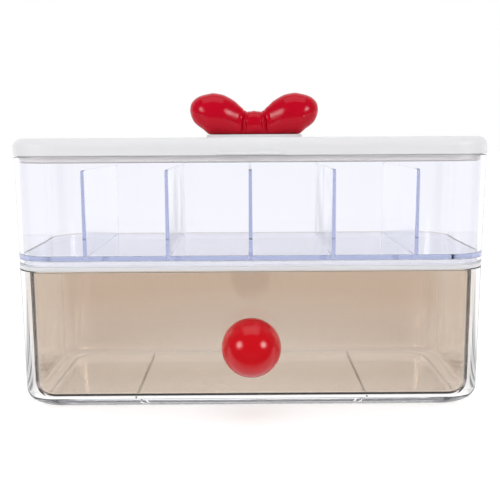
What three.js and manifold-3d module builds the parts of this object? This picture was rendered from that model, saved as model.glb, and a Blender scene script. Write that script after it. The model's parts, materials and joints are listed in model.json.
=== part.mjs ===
// A countertop organizer for hair accessories. A clear housing holds a see-through brown drawer with a
// red ball knob, a clear tray with five dividers stands on it, and a white lid with a red bow handle is
// hinged behind the tray. Sizes are in millimetres. The origin is the middle of the housing's bottom,
// +X points to the right as seen from in front, -Y to the front and +Z up.
import * as THREE from "three";
import { mergeVertices } from "three/addons/utils/BufferGeometryUtils.js";
import Module from "manifold-3d";

const wasm = await Module();
wasm.setup();

// Overall plan
const bodyWidth = 239;
const bodyDepth = 98;
const cornerRadius = 20;

// Clearances
const seatGap = 0.3;
const fitGap = 0.3;
const cutOverrun = 2;
const weldDepth = 0.5;

// Drawer housing
const housingHeight = 69.2;
const housingWall = 2.75;
const housingFloor = 2.5;
const housingTaper = 0.7;
const housingFoot = 5.5;
const housingInnerFoot = 3.2;
const windowHalfWidth = 110;
const windowSill = 5;
const windowCornerRadius = 7;
const runnerSpacing = 118;
const runnerWidth = 1.2;
const runnerRearSpace = 14;

// Deck plate
const deckThickness = 2.1;
const deckUpstand = 2.7;
const deckRimWall = 2.2;
const deckPlugDepth = 2.2;

// Tray
const traySkirt = 2.7;
const trayFloor = 2.3;
const trayInsideHeight = 49.1;
const trayWall = 2.2;
const trayFlare = 0.6;
const trayInnerFoot = 3;

// Dividers
const dividerCount = 5;
const dividerPitch = 41;
const dividerHeight = 42.4;
const dividerFootThickness = 1.95;
const dividerTopThickness = 1.55;
const dividerTopRadius = 1.5;
const tenonLength = 12;
const tenonInset = 4;
const tenonStep = 0.1;
const slotGap = 0.15;

// Lid
const lidOverhang = 0.5;
const lidHeight = 8.7;
const lidWall = 2.6;
const lidTop = 2.4;
const lidEdgeReach = 5;
const lidEdgeDrop = 4.4;
const lidInnerEdge = 2.5;
const lipWidth = 31.8;
const lipReach = 1.8;
const lipLowStep = 0.5;
const lipThickness = 0.6;
const lipRise = 1.5;
const linerThickness = 1.8;
const linerRimWall = 1.8;
const linerPlug = 3.8;
const plugClearance = 0.9;
const linerBossRadius = 3.5;
const linerBossSpacingX = 160;
const linerBossSpacingY = 56;

// Rear hinges
const hingeSpacing = 140;
const knuckleRadius = 2.9;
const knuckleGap = 0.4;
const earWidth = 9;
const knuckleWidth = 7;
const hingeRise = 0.7;
const earWebDrop = 4;
const webWall = 2.2;
const pinRadius = 1;
const pinLength = 22;
const pinGap = 0.3;

// Bow handle, which sits a little to the right of the lid's middle
const bowMiddle = 2.4;
const bowWidth = 69.5;
const bowHeight = 22.2;
const bowBaseWidth = 49.3;
const bowLobeDepth = 20;
const bowKnotDepth = 14;
const bowBaseDepth = 13;
const bowWall = 2;
const bowSeamGap = 0.3;
const padHeight = 1.3;
const padMargin = 1.2;
const padRoundShare = 0.8;
const bowScrewSpacing = 28;

// Screws, all of one kind
const screwShankRadius = 1.4;
const screwHeadRadius = 2.9;
const screwHeadHeight = 1.9;
const screwReach = 7;
const screwHoleGap = 0.35;
const screwTipDrop = 0.8;
const screwCrownShare = 0.7;

// Drawer
const drawerSideGap = 0.5;
const drawerRunnerGap = 0.3;
const drawerRearSpace = 15.25;
const drawerFrontWall = 2.2;
const drawerWall = 2;
const drawerFloor = 2;
const drawerTopGap = 0.5;
const drawerRimDrop = 2.5;
const drawerFrontRadius = 6;
const drawerRearRadius = 18;
const drawerFootHeight = 6.5;
const drawerFrontFoot = 1.5;
const drawerRearFoot = 4;
const drawerInnerFoot = 4.5;
const stopLugGap = 0.8;
const stopLugHeight = 4.5;
const stopLugThickness = 4;
const stopLugRoot = 9;

// Ball knob
const knobRadius = 14.5;
const knobStandOff = 12;
const knobHeight = 34;
const knobBoreDepth = 10;

// Smoothness
const cornerSteps = 6;
const filletSteps = 3;
const roundSteps = 24;
const ballSteps = 28;
const bowRingSteps = 24;

const quarterTurn = Math.PI / 2;

// Levels that follow from the sizes
const deckZ = housingHeight + seatGap;
const deckTopZ = deckZ + deckThickness;
const trayFootZ = deckTopZ + seatGap;
const trayFloorLowZ = trayFootZ + traySkirt;
const trayFloorZ = trayFloorLowZ + trayFloor;
const trayRimZ = trayFloorZ + trayInsideHeight;
const lidZ = trayRimZ + seatGap;
const lidTopZ = lidZ + lidHeight;
const lidCeilingZ = lidTopZ - lidTop;
const padTopZ = lidTopZ + padHeight;
const bowZ = padTopZ + seatGap;
const hingeZ = lidZ + hingeRise;
const drawerZ = windowSill + drawerRunnerGap;
const drawerFloorZ = drawerZ + drawerFloor;
const drawerFrontTopZ = deckZ - drawerTopGap;
const drawerRimZ = drawerFrontTopZ - drawerRimDrop;

// Plans that follow from the sizes: each holds half its width, its front and rear edges and their corner
// radii, and its middle along X where that isn't zero
const half = (size) => size / 2;
const bodyPlan = {
  halfWidth: half(bodyWidth),
  front: -half(bodyDepth),
  back: half(bodyDepth),
  frontRadius: cornerRadius,
  rearRadius: cornerRadius,
};
const lidPlan = grown(bodyPlan, lidOverhang);
const trayTopPlan = grown(bodyPlan, trayFlare);
const drawerPlan = {
  halfWidth: windowHalfWidth - drawerSideGap,
  front: bodyPlan.front,
  back: bodyPlan.back - housingWall - drawerRearSpace,
  frontRadius: drawerFrontRadius,
  rearRadius: drawerRearRadius,
};
const hingeY = trayTopPlan.back + knuckleGap + knuckleRadius;

// A plan with its sides, front and back moved out, or in where the growth is negative
function grown(plan, side, front = side, back = side) {
  return {
    halfWidth: plan.halfWidth + side,
    front: plan.front - front,
    back: plan.back + back,
    frontRadius: Math.max(plan.frontRadius + front, weldDepth),
    rearRadius: Math.max(plan.rearRadius + back, weldDepth),
  };
}

// The points of a plan at one height, counter-clockwise seen from above
function outline(plan, z) {
  const { halfWidth, front, back, frontRadius, rearRadius, middle = 0 } = plan;
  const corners = [
    [halfWidth - rearRadius, back - rearRadius, rearRadius, 0],
    [rearRadius - halfWidth, back - rearRadius, rearRadius, 1],
    [frontRadius - halfWidth, front + frontRadius, frontRadius, 2],
    [halfWidth - frontRadius, front + frontRadius, frontRadius, 3],
  ];
  const points = [];
  for (const [x, y, radius, quarter] of corners) {
    for (let step = 0; step <= cornerSteps; step++) {
      const turn = (quarter + step / cornerSteps) * quarterTurn;
      points.push([middle + x + radius * Math.cos(turn), y + radius * Math.sin(turn), z]);
    }
  }
  return points;
}

// A manifold solid from any closed three.js geometry
function solid(geometry) {
  const bare = geometry.index ? geometry.toNonIndexed() : geometry.clone();
  bare.deleteAttribute("normal");
  bare.deleteAttribute("uv");
  const merged = mergeVertices(bare, 1e-4);
  return new wasm.Manifold(
    new wasm.Mesh({
      numProp: 3,
      vertProperties: merged.attributes.position.array,
      triVerts: new Uint32Array(merged.index.array),
    }),
  );
}

// The three.js geometry of a manifold solid
function geometryOf(manifold) {
  const mesh = manifold.getMesh();
  const positions = new Float32Array(mesh.numVert * 3);
  for (let vertex = 0; vertex < mesh.numVert; vertex++) {
    const from = vertex * mesh.numProp;
    positions.set(mesh.vertProperties.subarray(from, from + 3), vertex * 3);
  }
  const geometry = new THREE.BufferGeometry();
  geometry.setAttribute("position", new THREE.BufferAttribute(positions, 3));
  geometry.setIndex(new THREE.BufferAttribute(new Uint32Array(mesh.triVerts), 1));
  return geometry;
}

// A closed solid through rings of equally many points, each ring convex and flat or nearly so
function loft(rings) {
  const count = rings[0].length;
  const positions = rings.flat(2);
  const index = [];
  for (let ring = 0; ring < rings.length - 1; ring++) {
    for (let i = 0; i < count; i++) {
      const a = ring * count + i;
      const b = ring * count + ((i + 1) % count);
      index.push(a, b, b + count, a, b + count, a + count);
    }
  }
  const last = (rings.length - 1) * count;
  for (let i = 1; i < count - 1; i++) {
    index.push(0, i + 1, i);
    index.push(last, last + i, last + i + 1);
  }
  const geometry = new THREE.BufferGeometry();
  geometry.setAttribute("position", new THREE.Float32BufferAttribute(positions, 3));
  geometry.setIndex(index);
  return solid(geometry);
}

// Rings of a rounded foot edge, from its lowest level to where the walls start
function footRings(plan, z, height, side, front = side, back = side) {
  const rings = [];
  for (let step = 0; step <= filletSteps; step++) {
    const turn = (step / filletSteps) * quarterTurn;
    const inset = 1 - Math.sin(turn);
    const rise = 1 - Math.cos(turn);
    const level = grown(plan, -side * inset, -front * inset, -back * inset);
    rings.push(outline(level, z + height * rise));
  }
  return rings;
}

// Rings of a rounded top edge, from where the walls end to the highest level
function crownRings(plan, z, reach, drop) {
  const rings = [];
  for (let step = 0; step <= filletSteps; step++) {
    const turn = (step / filletSteps) * quarterTurn;
    const level = grown(plan, -reach * (1 - Math.cos(turn)));
    rings.push(outline(level, z - drop * (1 - Math.sin(turn))));
  }
  return rings;
}

// A plain block between two levels
function block(plan, lowZ, highZ, topPlan = plan) {
  return loft([outline(plan, lowZ), outline(topPlan, highZ)]);
}

// A box between two corners
function box(x0, x1, y0, y1, z0, z1) {
  const geometry = new THREE.BoxGeometry(x1 - x0, y1 - y0, z1 - z0);
  geometry.translate(half(x0 + x1), half(y0 + y1), half(z0 + z1));
  return solid(geometry);
}

// An outline of [x, z] points drawn out along Y
function prismAlongY(shape, y0, y1) {
  const geometry = new THREE.ExtrudeGeometry(shape, {
    depth: y1 - y0,
    bevelEnabled: false,
    curveSegments: cornerSteps,
  });
  geometry.rotateX(quarterTurn);
  geometry.translate(0, y1, 0);
  return solid(geometry);
}

// An outline of [y, z] points drawn out along X
function prismAlongX(shape, x0, x1) {
  const geometry = new THREE.ExtrudeGeometry(shape, {
    depth: x1 - x0,
    bevelEnabled: false,
    curveSegments: cornerSteps,
  });
  geometry.applyMatrix4(
    new THREE.Matrix4().makeBasis(
      new THREE.Vector3(0, 1, 0),
      new THREE.Vector3(0, 0, 1),
      new THREE.Vector3(1, 0, 0),
    ),
  );
  geometry.translate(x0, 0, 0);
  return solid(geometry);
}

// A round bar along X
function barAlongX(x0, x1, y, z, radius) {
  const geometry = new THREE.CylinderGeometry(radius, radius, x1 - x0, roundSteps);
  geometry.rotateZ(quarterTurn);
  geometry.translate(half(x0 + x1), y, z);
  return solid(geometry);
}

// A round bar along Z
function barAlongZ(x, y, z0, z1, radius) {
  const geometry = new THREE.CylinderGeometry(radius, radius, z1 - z0, roundSteps);
  geometry.rotateX(quarterTurn);
  geometry.translate(x, y, half(z0 + z1));
  return solid(geometry);
}

// A closed outline from a list of points
function shapeOf(points) {
  return new THREE.Shape(points.map(([a, b]) => new THREE.Vector2(a, b)));
}

// The solid joined from several
function joined(first, ...others) {
  return others.reduce((sum, other) => sum.add(other), first);
}

// A named mesh with a plain moulded finish
function piece(name, manifold, finish) {
  const mesh = new THREE.Mesh(geometryOf(manifold), new THREE.MeshStandardMaterial(finish));
  mesh.name = name;
  return mesh;
}

// Finishes
const clearPlastic = { color: 0xe6eaf8, roughness: 0.08, transparent: true, opacity: 0.35 };
const brownPlastic = { color: 0xb8a084, roughness: 0.1, transparent: true, opacity: 0.6 };
const whitePlastic = { color: 0xe9e8ec, roughness: 0.3 };
const redPlastic = { color: 0xc8102c, roughness: 0.15 };
const steel = { color: 0xb9bcc0, roughness: 0.3, metalness: 1 };

// The clear housing, with its front window and the two runner ribs on its floor
function drawerHousing() {
  const foot = grown(bodyPlan, -housingTaper);
  const inside = grown(bodyPlan, -housingWall);
  const insideFoot = grown(foot, -housingWall);
  const outer = loft([
    ...footRings(foot, 0, housingFoot, housingFoot),
    outline(bodyPlan, housingHeight),
  ]);
  const inner = loft([
    ...footRings(insideFoot, housingFloor, housingInnerFoot, housingInnerFoot),
    outline(inside, housingHeight),
    outline(inside, housingHeight + cutOverrun),
  ]);
  const window = new THREE.Shape();
  const topZ = housingHeight + cutOverrun;
  window.moveTo(-windowHalfWidth, topZ);
  window.lineTo(-windowHalfWidth, windowSill + windowCornerRadius);
  window.absarc(
    windowCornerRadius - windowHalfWidth,
    windowSill + windowCornerRadius,
    windowCornerRadius,
    2 * quarterTurn,
    3 * quarterTurn,
    false,
  );
  window.absarc(
    windowHalfWidth - windowCornerRadius,
    windowSill + windowCornerRadius,
    windowCornerRadius,
    3 * quarterTurn,
    4 * quarterTurn,
    false,
  );
  window.lineTo(windowHalfWidth, topZ);
  const cut = prismAlongY(window, bodyPlan.front - cutOverrun, bodyPlan.front + half(cornerRadius));
  let shell = outer.subtract(inner).subtract(cut);
  for (const side of [-1, 1]) {
    const middle = side * half(runnerSpacing);
    shell = shell.add(
      box(
        middle - half(runnerWidth),
        middle + half(runnerWidth),
        insideFoot.front - weldDepth,
        insideFoot.back - runnerRearSpace,
        housingFloor - weldDepth,
        windowSill,
      ),
    );
  }
  return shell;
}

// The white deck, which plugs into the housing's top and centres the tray's skirt
function deckPlate() {
  const upstand = grown(bodyPlan, -trayWall - fitGap);
  const plug = grown(bodyPlan, -housingWall - fitGap);
  const plate = block(bodyPlan, deckZ, deckTopZ);
  const ring = block(upstand, deckTopZ - weldDepth, deckTopZ + deckUpstand).subtract(
    block(grown(upstand, -deckRimWall), deckTopZ - cutOverrun, deckTopZ + deckUpstand + cutOverrun),
  );
  const plugRing = block(plug, deckZ - deckPlugDepth, deckZ + weldDepth)
    .subtract(
      block(grown(plug, -deckRimWall), deckZ - deckPlugDepth - cutOverrun, deckZ + cutOverrun),
    )
    .subtract(
      box(
        -half(bodyWidth),
        half(bodyWidth),
        bodyPlan.front,
        bodyPlan.front + cornerRadius,
        deckZ - deckPlugDepth - cutOverrun,
        deckZ,
      ),
    );
  return joined(plate, ring, plugRing);
}

// The places of the tenons of one divider, as front and rear pairs of Y values
function tenonSpans() {
  const front = bodyPlan.front + trayWall + tenonInset;
  const back = bodyPlan.back - trayWall - tenonInset;
  return [
    [front, front + tenonLength],
    [back - tenonLength, back],
  ];
}

// The divider middles along X, from left to right
function dividerPlaces() {
  const first = -half(dividerPitch * (dividerCount - 1));
  return Array.from({ length: dividerCount }, (_, i) => first + i * dividerPitch);
}

// The clear tray, with its skirt, the slots of the dividers and the ears of the rear hinges
function trayBody() {
  const inside = grown(bodyPlan, -trayWall);
  const insideTop = grown(trayTopPlan, -trayWall);
  let tray = block(bodyPlan, trayFootZ, trayRimZ, trayTopPlan)
    .subtract(
      loft([
        ...footRings(inside, trayFloorZ, trayInnerFoot, trayInnerFoot),
        outline(insideTop, trayRimZ),
        outline(insideTop, trayRimZ + cutOverrun),
      ]),
    )
    .subtract(block(inside, trayFootZ - cutOverrun, trayFloorLowZ));
  for (const x of dividerPlaces()) {
    for (const [front, back] of tenonSpans()) {
      const reach = half(dividerFootThickness) + slotGap;
      tray = tray.subtract(
        box(
          x - reach,
          x + reach,
          front - slotGap,
          back + slotGap,
          trayFloorLowZ - cutOverrun,
          trayFloorZ + cutOverrun,
        ),
      );
    }
  }
  for (const side of [-1, 1]) tray = tray.add(trayEar(side * half(hingeSpacing)));
  return tray;
}

// One hinge ear on the tray's back wall
function trayEar(x) {
  const x0 = x - half(earWidth);
  const x1 = x + half(earWidth);
  const wallY = bodyPlan.back;
  const lowZ = hingeZ - knuckleRadius - earWebDrop;
  const web = shapeOf([
    [wallY - weldDepth, trayRimZ - seatGap],
    [wallY - weldDepth, lowZ],
    [hingeY, hingeZ - knuckleRadius],
    [hingeY + knuckleRadius, hingeZ],
    [hingeY - webWall, hingeZ],
    [wallY + knuckleGap, trayRimZ - seatGap],
  ]);
  return joined(prismAlongX(web, x0, x1), barAlongX(x0, x1, hingeY, hingeZ, knuckleRadius)).subtract(
    barAlongX(x0 - cutOverrun, x1 + cutOverrun, hingeY, hingeZ, pinRadius + pinGap),
  );
}

// One drafted divider plate with its two tenons
function divider(x) {
  const front = bodyPlan.front + trayWall + fitGap;
  const back = bodyPlan.back - trayWall - fitGap;
  const foot = trayInnerFoot + fitGap;
  const topZ = trayFloorZ + dividerHeight;
  const side = new THREE.Shape();
  side.moveTo(front + foot, trayFloorZ);
  side.lineTo(back - foot, trayFloorZ);
  side.lineTo(back, trayFloorZ + foot);
  side.lineTo(back, topZ - dividerTopRadius);
  side.absarc(back - dividerTopRadius, topZ - dividerTopRadius, dividerTopRadius, 0, quarterTurn, false);
  side.absarc(
    front + dividerTopRadius,
    topZ - dividerTopRadius,
    dividerTopRadius,
    quarterTurn,
    2 * quarterTurn,
    false,
  );
  side.lineTo(front, trayFloorZ + foot);
  const geometry = new THREE.ExtrudeGeometry(side, {
    depth: dividerFootThickness,
    bevelEnabled: false,
    curveSegments: cornerSteps,
  });
  const corner = geometry.attributes.position;
  for (let i = 0; i < corner.count; i++) {
    const share = (corner.getY(i) - trayFloorZ) / dividerHeight;
    const thickness = THREE.MathUtils.lerp(dividerFootThickness, dividerTopThickness, share);
    const face = Math.sign(corner.getZ(i) - half(dividerFootThickness));
    corner.setXYZ(i, x + face * half(thickness), corner.getX(i), corner.getY(i));
  }
  let plate = solid(geometry);
  for (const [y0, y1] of tenonSpans()) {
    const reach = half(dividerFootThickness) - tenonStep;
    plate = plate.add(
      box(x - reach, x + reach, y0, y1, trayFloorLowZ, trayFloorZ + weldDepth),
    );
  }
  return plate;
}

// The plan of the raised pad under the bow
function padPlan() {
  const radius = half(bowBaseDepth) * padRoundShare + padMargin;
  return {
    middle: bowMiddle,
    halfWidth: half(bowBaseWidth) + padMargin,
    front: -half(bowBaseDepth) - padMargin,
    back: half(bowBaseDepth) + padMargin,
    frontRadius: radius,
    rearRadius: radius,
  };
}

// The white lid, with its finger lip, bow pad, liner bosses and hinge knuckles
function lidShell() {
  const inside = grown(lidPlan, -lidWall);
  const outer = loft([outline(lidPlan, lidZ), ...crownRings(lidPlan, lidTopZ, lidEdgeReach, lidEdgeDrop)]);
  const inner = loft([
    outline(inside, lidZ - cutOverrun),
    ...crownRings(inside, lidCeilingZ, lidInnerEdge, lidInnerEdge),
  ]);
  const lipFront = lidPlan.front - lipReach;
  const lip = shapeOf([
    [lidPlan.front + weldDepth, lidZ + lipLowStep],
    [lidPlan.front + weldDepth, lidZ + lipLowStep + lipThickness + lipRise],
    [lipFront, lidZ + lipLowStep + lipThickness],
    [lipFront, lidZ + lipLowStep],
  ]);
  let lid = joined(
    outer.subtract(inner),
    prismAlongX(lip, -half(lipWidth), half(lipWidth)),
    block(padPlan(), lidTopZ - weldDepth, padTopZ),
  );
  for (const side of [-1, 1]) {
    for (const end of [-1, 1]) {
      const x = side * half(linerBossSpacingX);
      const y = end * half(linerBossSpacingY);
      const low = lidZ + linerThickness + 2 * seatGap;
      lid = lid.add(barAlongZ(x, y, low, lidCeilingZ + weldDepth, linerBossRadius));
    }
    const hole = screwShankRadius + screwHoleGap;
    const x = bowMiddle + side * half(bowScrewSpacing);
    lid = lid.subtract(barAlongZ(x, 0, lidCeilingZ - cutOverrun, padTopZ + cutOverrun, hole));
    for (const end of [-1, 1]) {
      const middle =
        side * half(hingeSpacing) + end * (half(earWidth) + seatGap + half(knuckleWidth));
      lid = lid.add(lidKnuckle(middle));
    }
  }
  return lid;
}

// One hinge knuckle on the lid's rear skirt
function lidKnuckle(x) {
  const x0 = x - half(knuckleWidth);
  const x1 = x + half(knuckleWidth);
  const web = shapeOf([
    [lidPlan.back - half(lidWall), hingeZ],
    [hingeY, hingeZ],
    [hingeY, hingeZ + knuckleRadius],
    [lidPlan.back - half(lidWall), hingeZ + knuckleRadius],
  ]);
  return joined(prismAlongX(web, x0, x1), barAlongX(x0, x1, hingeY, hingeZ, knuckleRadius)).subtract(
    barAlongX(x0 - cutOverrun, x1 + cutOverrun, hingeY, hingeZ, pinRadius + pinGap),
  );
}

// The panel inside the lid, whose rim drops into the tray
function lidLiner() {
  const insideLid = grown(lidPlan, -lidWall - fitGap);
  const insideTray = grown(trayTopPlan, -trayWall - plugClearance);
  const plan = {
    ...insideLid,
    halfWidth: Math.min(insideLid.halfWidth, insideTray.halfWidth),
    front: Math.max(insideLid.front, insideTray.front),
    back: Math.min(insideLid.back, insideTray.back),
  };
  const plateZ = lidZ + seatGap;
  const rim = loft([
    ...footRings(plan, plateZ - linerPlug, linerRimWall, half(linerRimWall)),
    outline(plan, plateZ + linerThickness),
  ]);
  return rim.subtract(block(grown(plan, -linerRimWall), plateZ - linerPlug - cutOverrun, plateZ));
}

// A hinge pin
function hingePin(x) {
  return barAlongX(x - half(pinLength), x + half(pinLength), hingeY, hingeZ, pinRadius);
}

// The bow's outline from its middle to its side, as shares of half its width and of its height
const bowStationShares = [
  { x: 0, top: 0.571, low: 0 },
  { x: 0.075, top: 0.562, low: 0 },
  { x: 0.147, top: 0.53, low: 0 },
  { x: 0.19, top: 0.62, low: 0 },
  { x: 0.3, top: 0.806, low: 0 },
  { x: 0.45, top: 0.952, low: 0 },
  { x: 0.56, top: 0.992, low: 0 },
  { x: 0.64, top: 1, low: 0 },
  { x: 0.71, top: 0.985, low: 0 },
  { x: 0.8, top: 0.935, low: 0.12 },
  { x: 0.88, top: 0.86, low: 0.215 },
  { x: 0.94, top: 0.77, low: 0.31 },
  { x: 0.98, top: 0.69, low: 0.43 },
  { x: 1, top: 0.62, low: 0.54 },
];
const bowSeamShares = [
  [1.2, 0.457],
  [0.5, 0.457],
  [0.356, 0.381],
  [0.2, 0.25],
];
const bowHollowShares = { from: 0.5, to: 0.9 };
const bowSwellShares = { from: 0.1, to: 0.6 };
const bowLobeShare = 0.64;
const bowTipShare = 0.17;
const bowRoundShares = { side: 0.9, foot: 0.4, flank: 0.8 };

// Half the bow's depth at a share of its half width: knot, waist and rounded lobe
function bowHalfDepth(share) {
  if (share > bowLobeShare) {
    const turn = (share - bowLobeShare) / (1 - bowLobeShare);
    return half(bowLobeDepth) * Math.max(Math.sqrt(1 - turn * turn), bowTipShare);
  }
  const swell = THREE.MathUtils.smoothstep(share, bowSwellShares.from, bowSwellShares.to);
  return THREE.MathUtils.lerp(half(bowKnotDepth), half(bowLobeDepth), swell);
}

// One upright ring of the bow, drawn in by a wall where it is a hollow
function bowRing(x, station, wall) {
  const low = bowZ + station.low * bowHeight + wall;
  const high = bowZ + station.top * bowHeight - wall;
  const depth = bowHalfDepth(station.x) - wall;
  const foot = Math.min(depth, half(bowBaseDepth) - wall);
  const middle = half(low + high);
  const points = [];
  for (let step = 0; step < bowRingSteps; step++) {
    const turn = (step / bowRingSteps) * 4 * quarterTurn;
    const up = Math.sin(turn);
    const flat = up < 0 && station.low === 0;
    const reach = flat ? THREE.MathUtils.lerp(depth, foot, up * up) : depth;
    const power = flat ? bowRoundShares.foot : bowRoundShares.side;
    const along = Math.sign(Math.cos(turn)) * Math.abs(Math.cos(turn)) ** power;
    const rise = flat ? -(Math.abs(up) ** bowRoundShares.flank) : up;
    points.push([x, reach * along, middle + half(high - low) * rise]);
  }
  return points;
}

// The whole bow as one closed form, before it is parted
function bowForm() {
  const left = [...bowStationShares].reverse().slice(0, -1);
  const rings = [
    ...left.map((station) => bowRing(-station.x * half(bowWidth), station, 0)),
    ...bowStationShares.map((station) => bowRing(station.x * half(bowWidth), station, 0)),
  ];
  return loft(rings);
}

// The hollow inside one lobe
function bowHollow(side) {
  const stations = bowStationShares.filter(
    ({ x }) => x >= bowHollowShares.from && x <= bowHollowShares.to,
  );
  const rings = stations.map((station) => bowRing(side * station.x * half(bowWidth), station, bowWall));
  return loft(side > 0 ? rings : rings.reverse());
}

// All of the bow's space above or below its parting seam
function bowSide(above) {
  const shift = above * half(bowSeamGap);
  const right = bowSeamShares.map(([x, z]) => [x * half(bowWidth), bowZ + z * bowHeight + shift]);
  const left = [...right].reverse().map(([x, z]) => [-x, z]);
  const farZ = above > 0 ? bowZ + bowHeight + cutOverrun : bowZ - cutOverrun;
  const end = right[0][0];
  const points = [...right, ...left, [-end, farZ], [end, farZ]];
  const reach = bowLobeDepth;
  return prismAlongY(shapeOf(above > 0 ? points : points.reverse()), -reach, reach);
}

// One shell of the bow: the upper one where above is 1, the lower one where it is -1
function bowShell(above) {
  let shell = bowForm().intersect(bowSide(above));
  for (const side of [-1, 1]) {
    shell = shell.subtract(bowHollow(side));
    if (above < 0) {
      const x = side * half(bowScrewSpacing);
      const hole = screwShankRadius + screwHoleGap;
      shell = shell.subtract(barAlongZ(x, 0, bowZ - cutOverrun, bowZ + screwReach + seatGap, hole));
    }
  }
  return shell;
}

// A pan head screw along Y, its head's face at zero and its tip at the given length
function screw(length) {
  const points = [
    [0, -screwHeadHeight],
    [screwHeadRadius * screwCrownShare, -screwHeadHeight],
    [screwHeadRadius, -half(screwHeadHeight)],
    [screwHeadRadius, 0],
    [screwShankRadius, 0],
    [screwShankRadius, length - screwTipDrop],
    [half(screwShankRadius), length],
    [0, length],
  ];
  return new THREE.LatheGeometry(
    points.map(([radius, y]) => new THREE.Vector2(radius, y)),
    roundSteps,
  );
}

// A screw of the bow, upright, with its head under the lid's top plate
function bowScrew(x) {
  const headZ = lidCeilingZ - seatGap;
  const geometry = screw(bowZ + screwReach - headZ);
  geometry.rotateX(quarterTurn);
  geometry.translate(x, 0, headZ);
  return solid(geometry);
}

// The brown drawer, open at the top, with a screw hole in front and stop lugs behind
function drawerBox() {
  const inside = {
    halfWidth: drawerPlan.halfWidth - drawerWall,
    front: drawerPlan.front + drawerFrontWall,
    back: drawerPlan.back - drawerWall,
    frontRadius: drawerPlan.frontRadius - drawerWall,
    rearRadius: drawerPlan.rearRadius - drawerWall,
  };
  const outer = loft([
    ...footRings(
      drawerPlan,
      drawerZ,
      drawerFootHeight,
      drawerFootHeight,
      drawerFrontFoot,
      drawerRearFoot,
    ),
    outline(drawerPlan, drawerFrontTopZ),
  ]);
  const inner = loft([
    ...footRings(inside, drawerFloorZ, drawerInnerFoot, drawerInnerFoot, drawerFrontFoot, drawerRearFoot),
    outline(inside, drawerFrontTopZ),
    outline(inside, drawerFrontTopZ + cutOverrun),
  ]);
  const lowered = box(
    -bodyWidth,
    bodyWidth,
    inside.front,
    bodyDepth,
    drawerRimZ,
    drawerFrontTopZ + cutOverrun,
  );
  const geometry = new THREE.CylinderGeometry(
    screwShankRadius + screwHoleGap,
    screwShankRadius + screwHoleGap,
    drawerFrontWall + 2 * cutOverrun,
    roundSteps,
  );
  geometry.translate(0, drawerPlan.front + half(drawerFrontWall), knobHeight);
  let drawer = outer.subtract(inner).subtract(lowered).subtract(solid(geometry));
  for (const side of [-1, 1]) drawer = drawer.add(stopLug(side));
  return drawer;
}

// A lug behind the drawer's side that guides it and stops it against the housing's front
function stopLug(side) {
  const outerX = bodyPlan.halfWidth - housingWall - stopLugGap;
  const innerX = drawerPlan.halfWidth - stopLugRoot;
  const [x0, x1] = side > 0 ? [innerX, outerX] : [-outerX, -innerX];
  return box(
    x0,
    x1,
    drawerPlan.back - stopLugThickness,
    drawerPlan.back,
    drawerRimZ - stopLugHeight,
    drawerRimZ,
  );
}

// The ball knob, flat where it seats on the drawer and bored for its screw
function drawerKnob() {
  const seatY = knobStandOff - seatGap;
  const seatTurn = Math.asin(seatY / knobRadius);
  const bore = screwShankRadius + screwHoleGap;
  const points = [];
  for (let step = 0; step <= half(ballSteps); step++) {
    const turn = THREE.MathUtils.lerp(-quarterTurn, seatTurn, step / half(ballSteps));
    points.push([knobRadius * Math.cos(turn), knobRadius * Math.sin(turn)]);
  }
  points[0][0] = 0;
  points.push([bore, seatY], [bore, seatY - knobBoreDepth], [0, seatY - knobBoreDepth]);
  const geometry = new THREE.LatheGeometry(
    points.map(([radius, y]) => new THREE.Vector2(radius, y)),
    ballSteps,
  );
  geometry.translate(0, drawerPlan.front - knobStandOff, knobHeight);
  return solid(geometry);
}

// The knob's screw, its head against the inside of the drawer's front
function knobScrew() {
  const headY = drawerPlan.front + drawerFrontWall + seatGap;
  const geometry = screw(drawerFrontWall + screwReach);
  geometry.rotateZ(2 * quarterTurn);
  geometry.translate(0, headY, knobHeight);
  return solid(geometry);
}

// The organizer, with its lid and its drawer as groups of their own
function organizer() {
  const whole = new THREE.Group();
  whole.add(piece("drawer_housing", drawerHousing(), clearPlastic));
  whole.add(piece("deck_plate", deckPlate(), whitePlastic));
  whole.add(piece("tray", trayBody(), clearPlastic));
  dividerPlaces().forEach((x, i) => {
    whole.add(piece(`divider_${i + 1}`, divider(x), clearPlastic));
  });
  whole.add(piece("hinge_pin_left", hingePin(-half(hingeSpacing)), steel));
  whole.add(piece("hinge_pin_right", hingePin(half(hingeSpacing)), steel));

  const lid = new THREE.Group();
  lid.add(piece("lid_shell", lidShell(), whitePlastic));
  lid.add(piece("lid_liner", lidLiner(), whitePlastic));
  const bow = new THREE.Group();
  bow.position.x = bowMiddle;
  bow.add(piece("bow_lower_shell", bowShell(-1), redPlastic));
  bow.add(piece("bow_upper_shell", bowShell(1), redPlastic));
  bow.add(piece("bow_screw_left", bowScrew(-half(bowScrewSpacing)), steel));
  bow.add(piece("bow_screw_right", bowScrew(half(bowScrewSpacing)), steel));
  lid.add(bow);
  whole.add(lid);

  const drawer = new THREE.Group();
  drawer.add(piece("drawer_box", drawerBox(), brownPlastic));
  drawer.add(piece("drawer_knob", drawerKnob(), redPlastic));
  drawer.add(piece("knob_screw", knobScrew(), steel));
  whole.add(drawer);
  return whole;
}

export default organizer();
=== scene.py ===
"""Looks of a countertop organizer for hair accessories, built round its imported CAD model.

A clear housing with a smoky drawer and a red ball knob carries a clear tray with five dividers, which a
white lid with a red bow handle closes. Each CAD piece is modelled again here with fine round edges, in the
place that the frame gives. Lengths are in metres, +X is to the right, -Y to the front and +Z up.
"""

import json
import logging
import math
from dataclasses import astuple, dataclass, replace
from enum import Enum
from typing import Callable, Iterable, Mapping, Sequence

import bmesh
import bpy
from bmesh.types import BMEdge, BMesh, BMFace, BMVert
from bpy.types import Node, NodeSocket, NodeTree
from mathutils import Matrix, Vector


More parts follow.
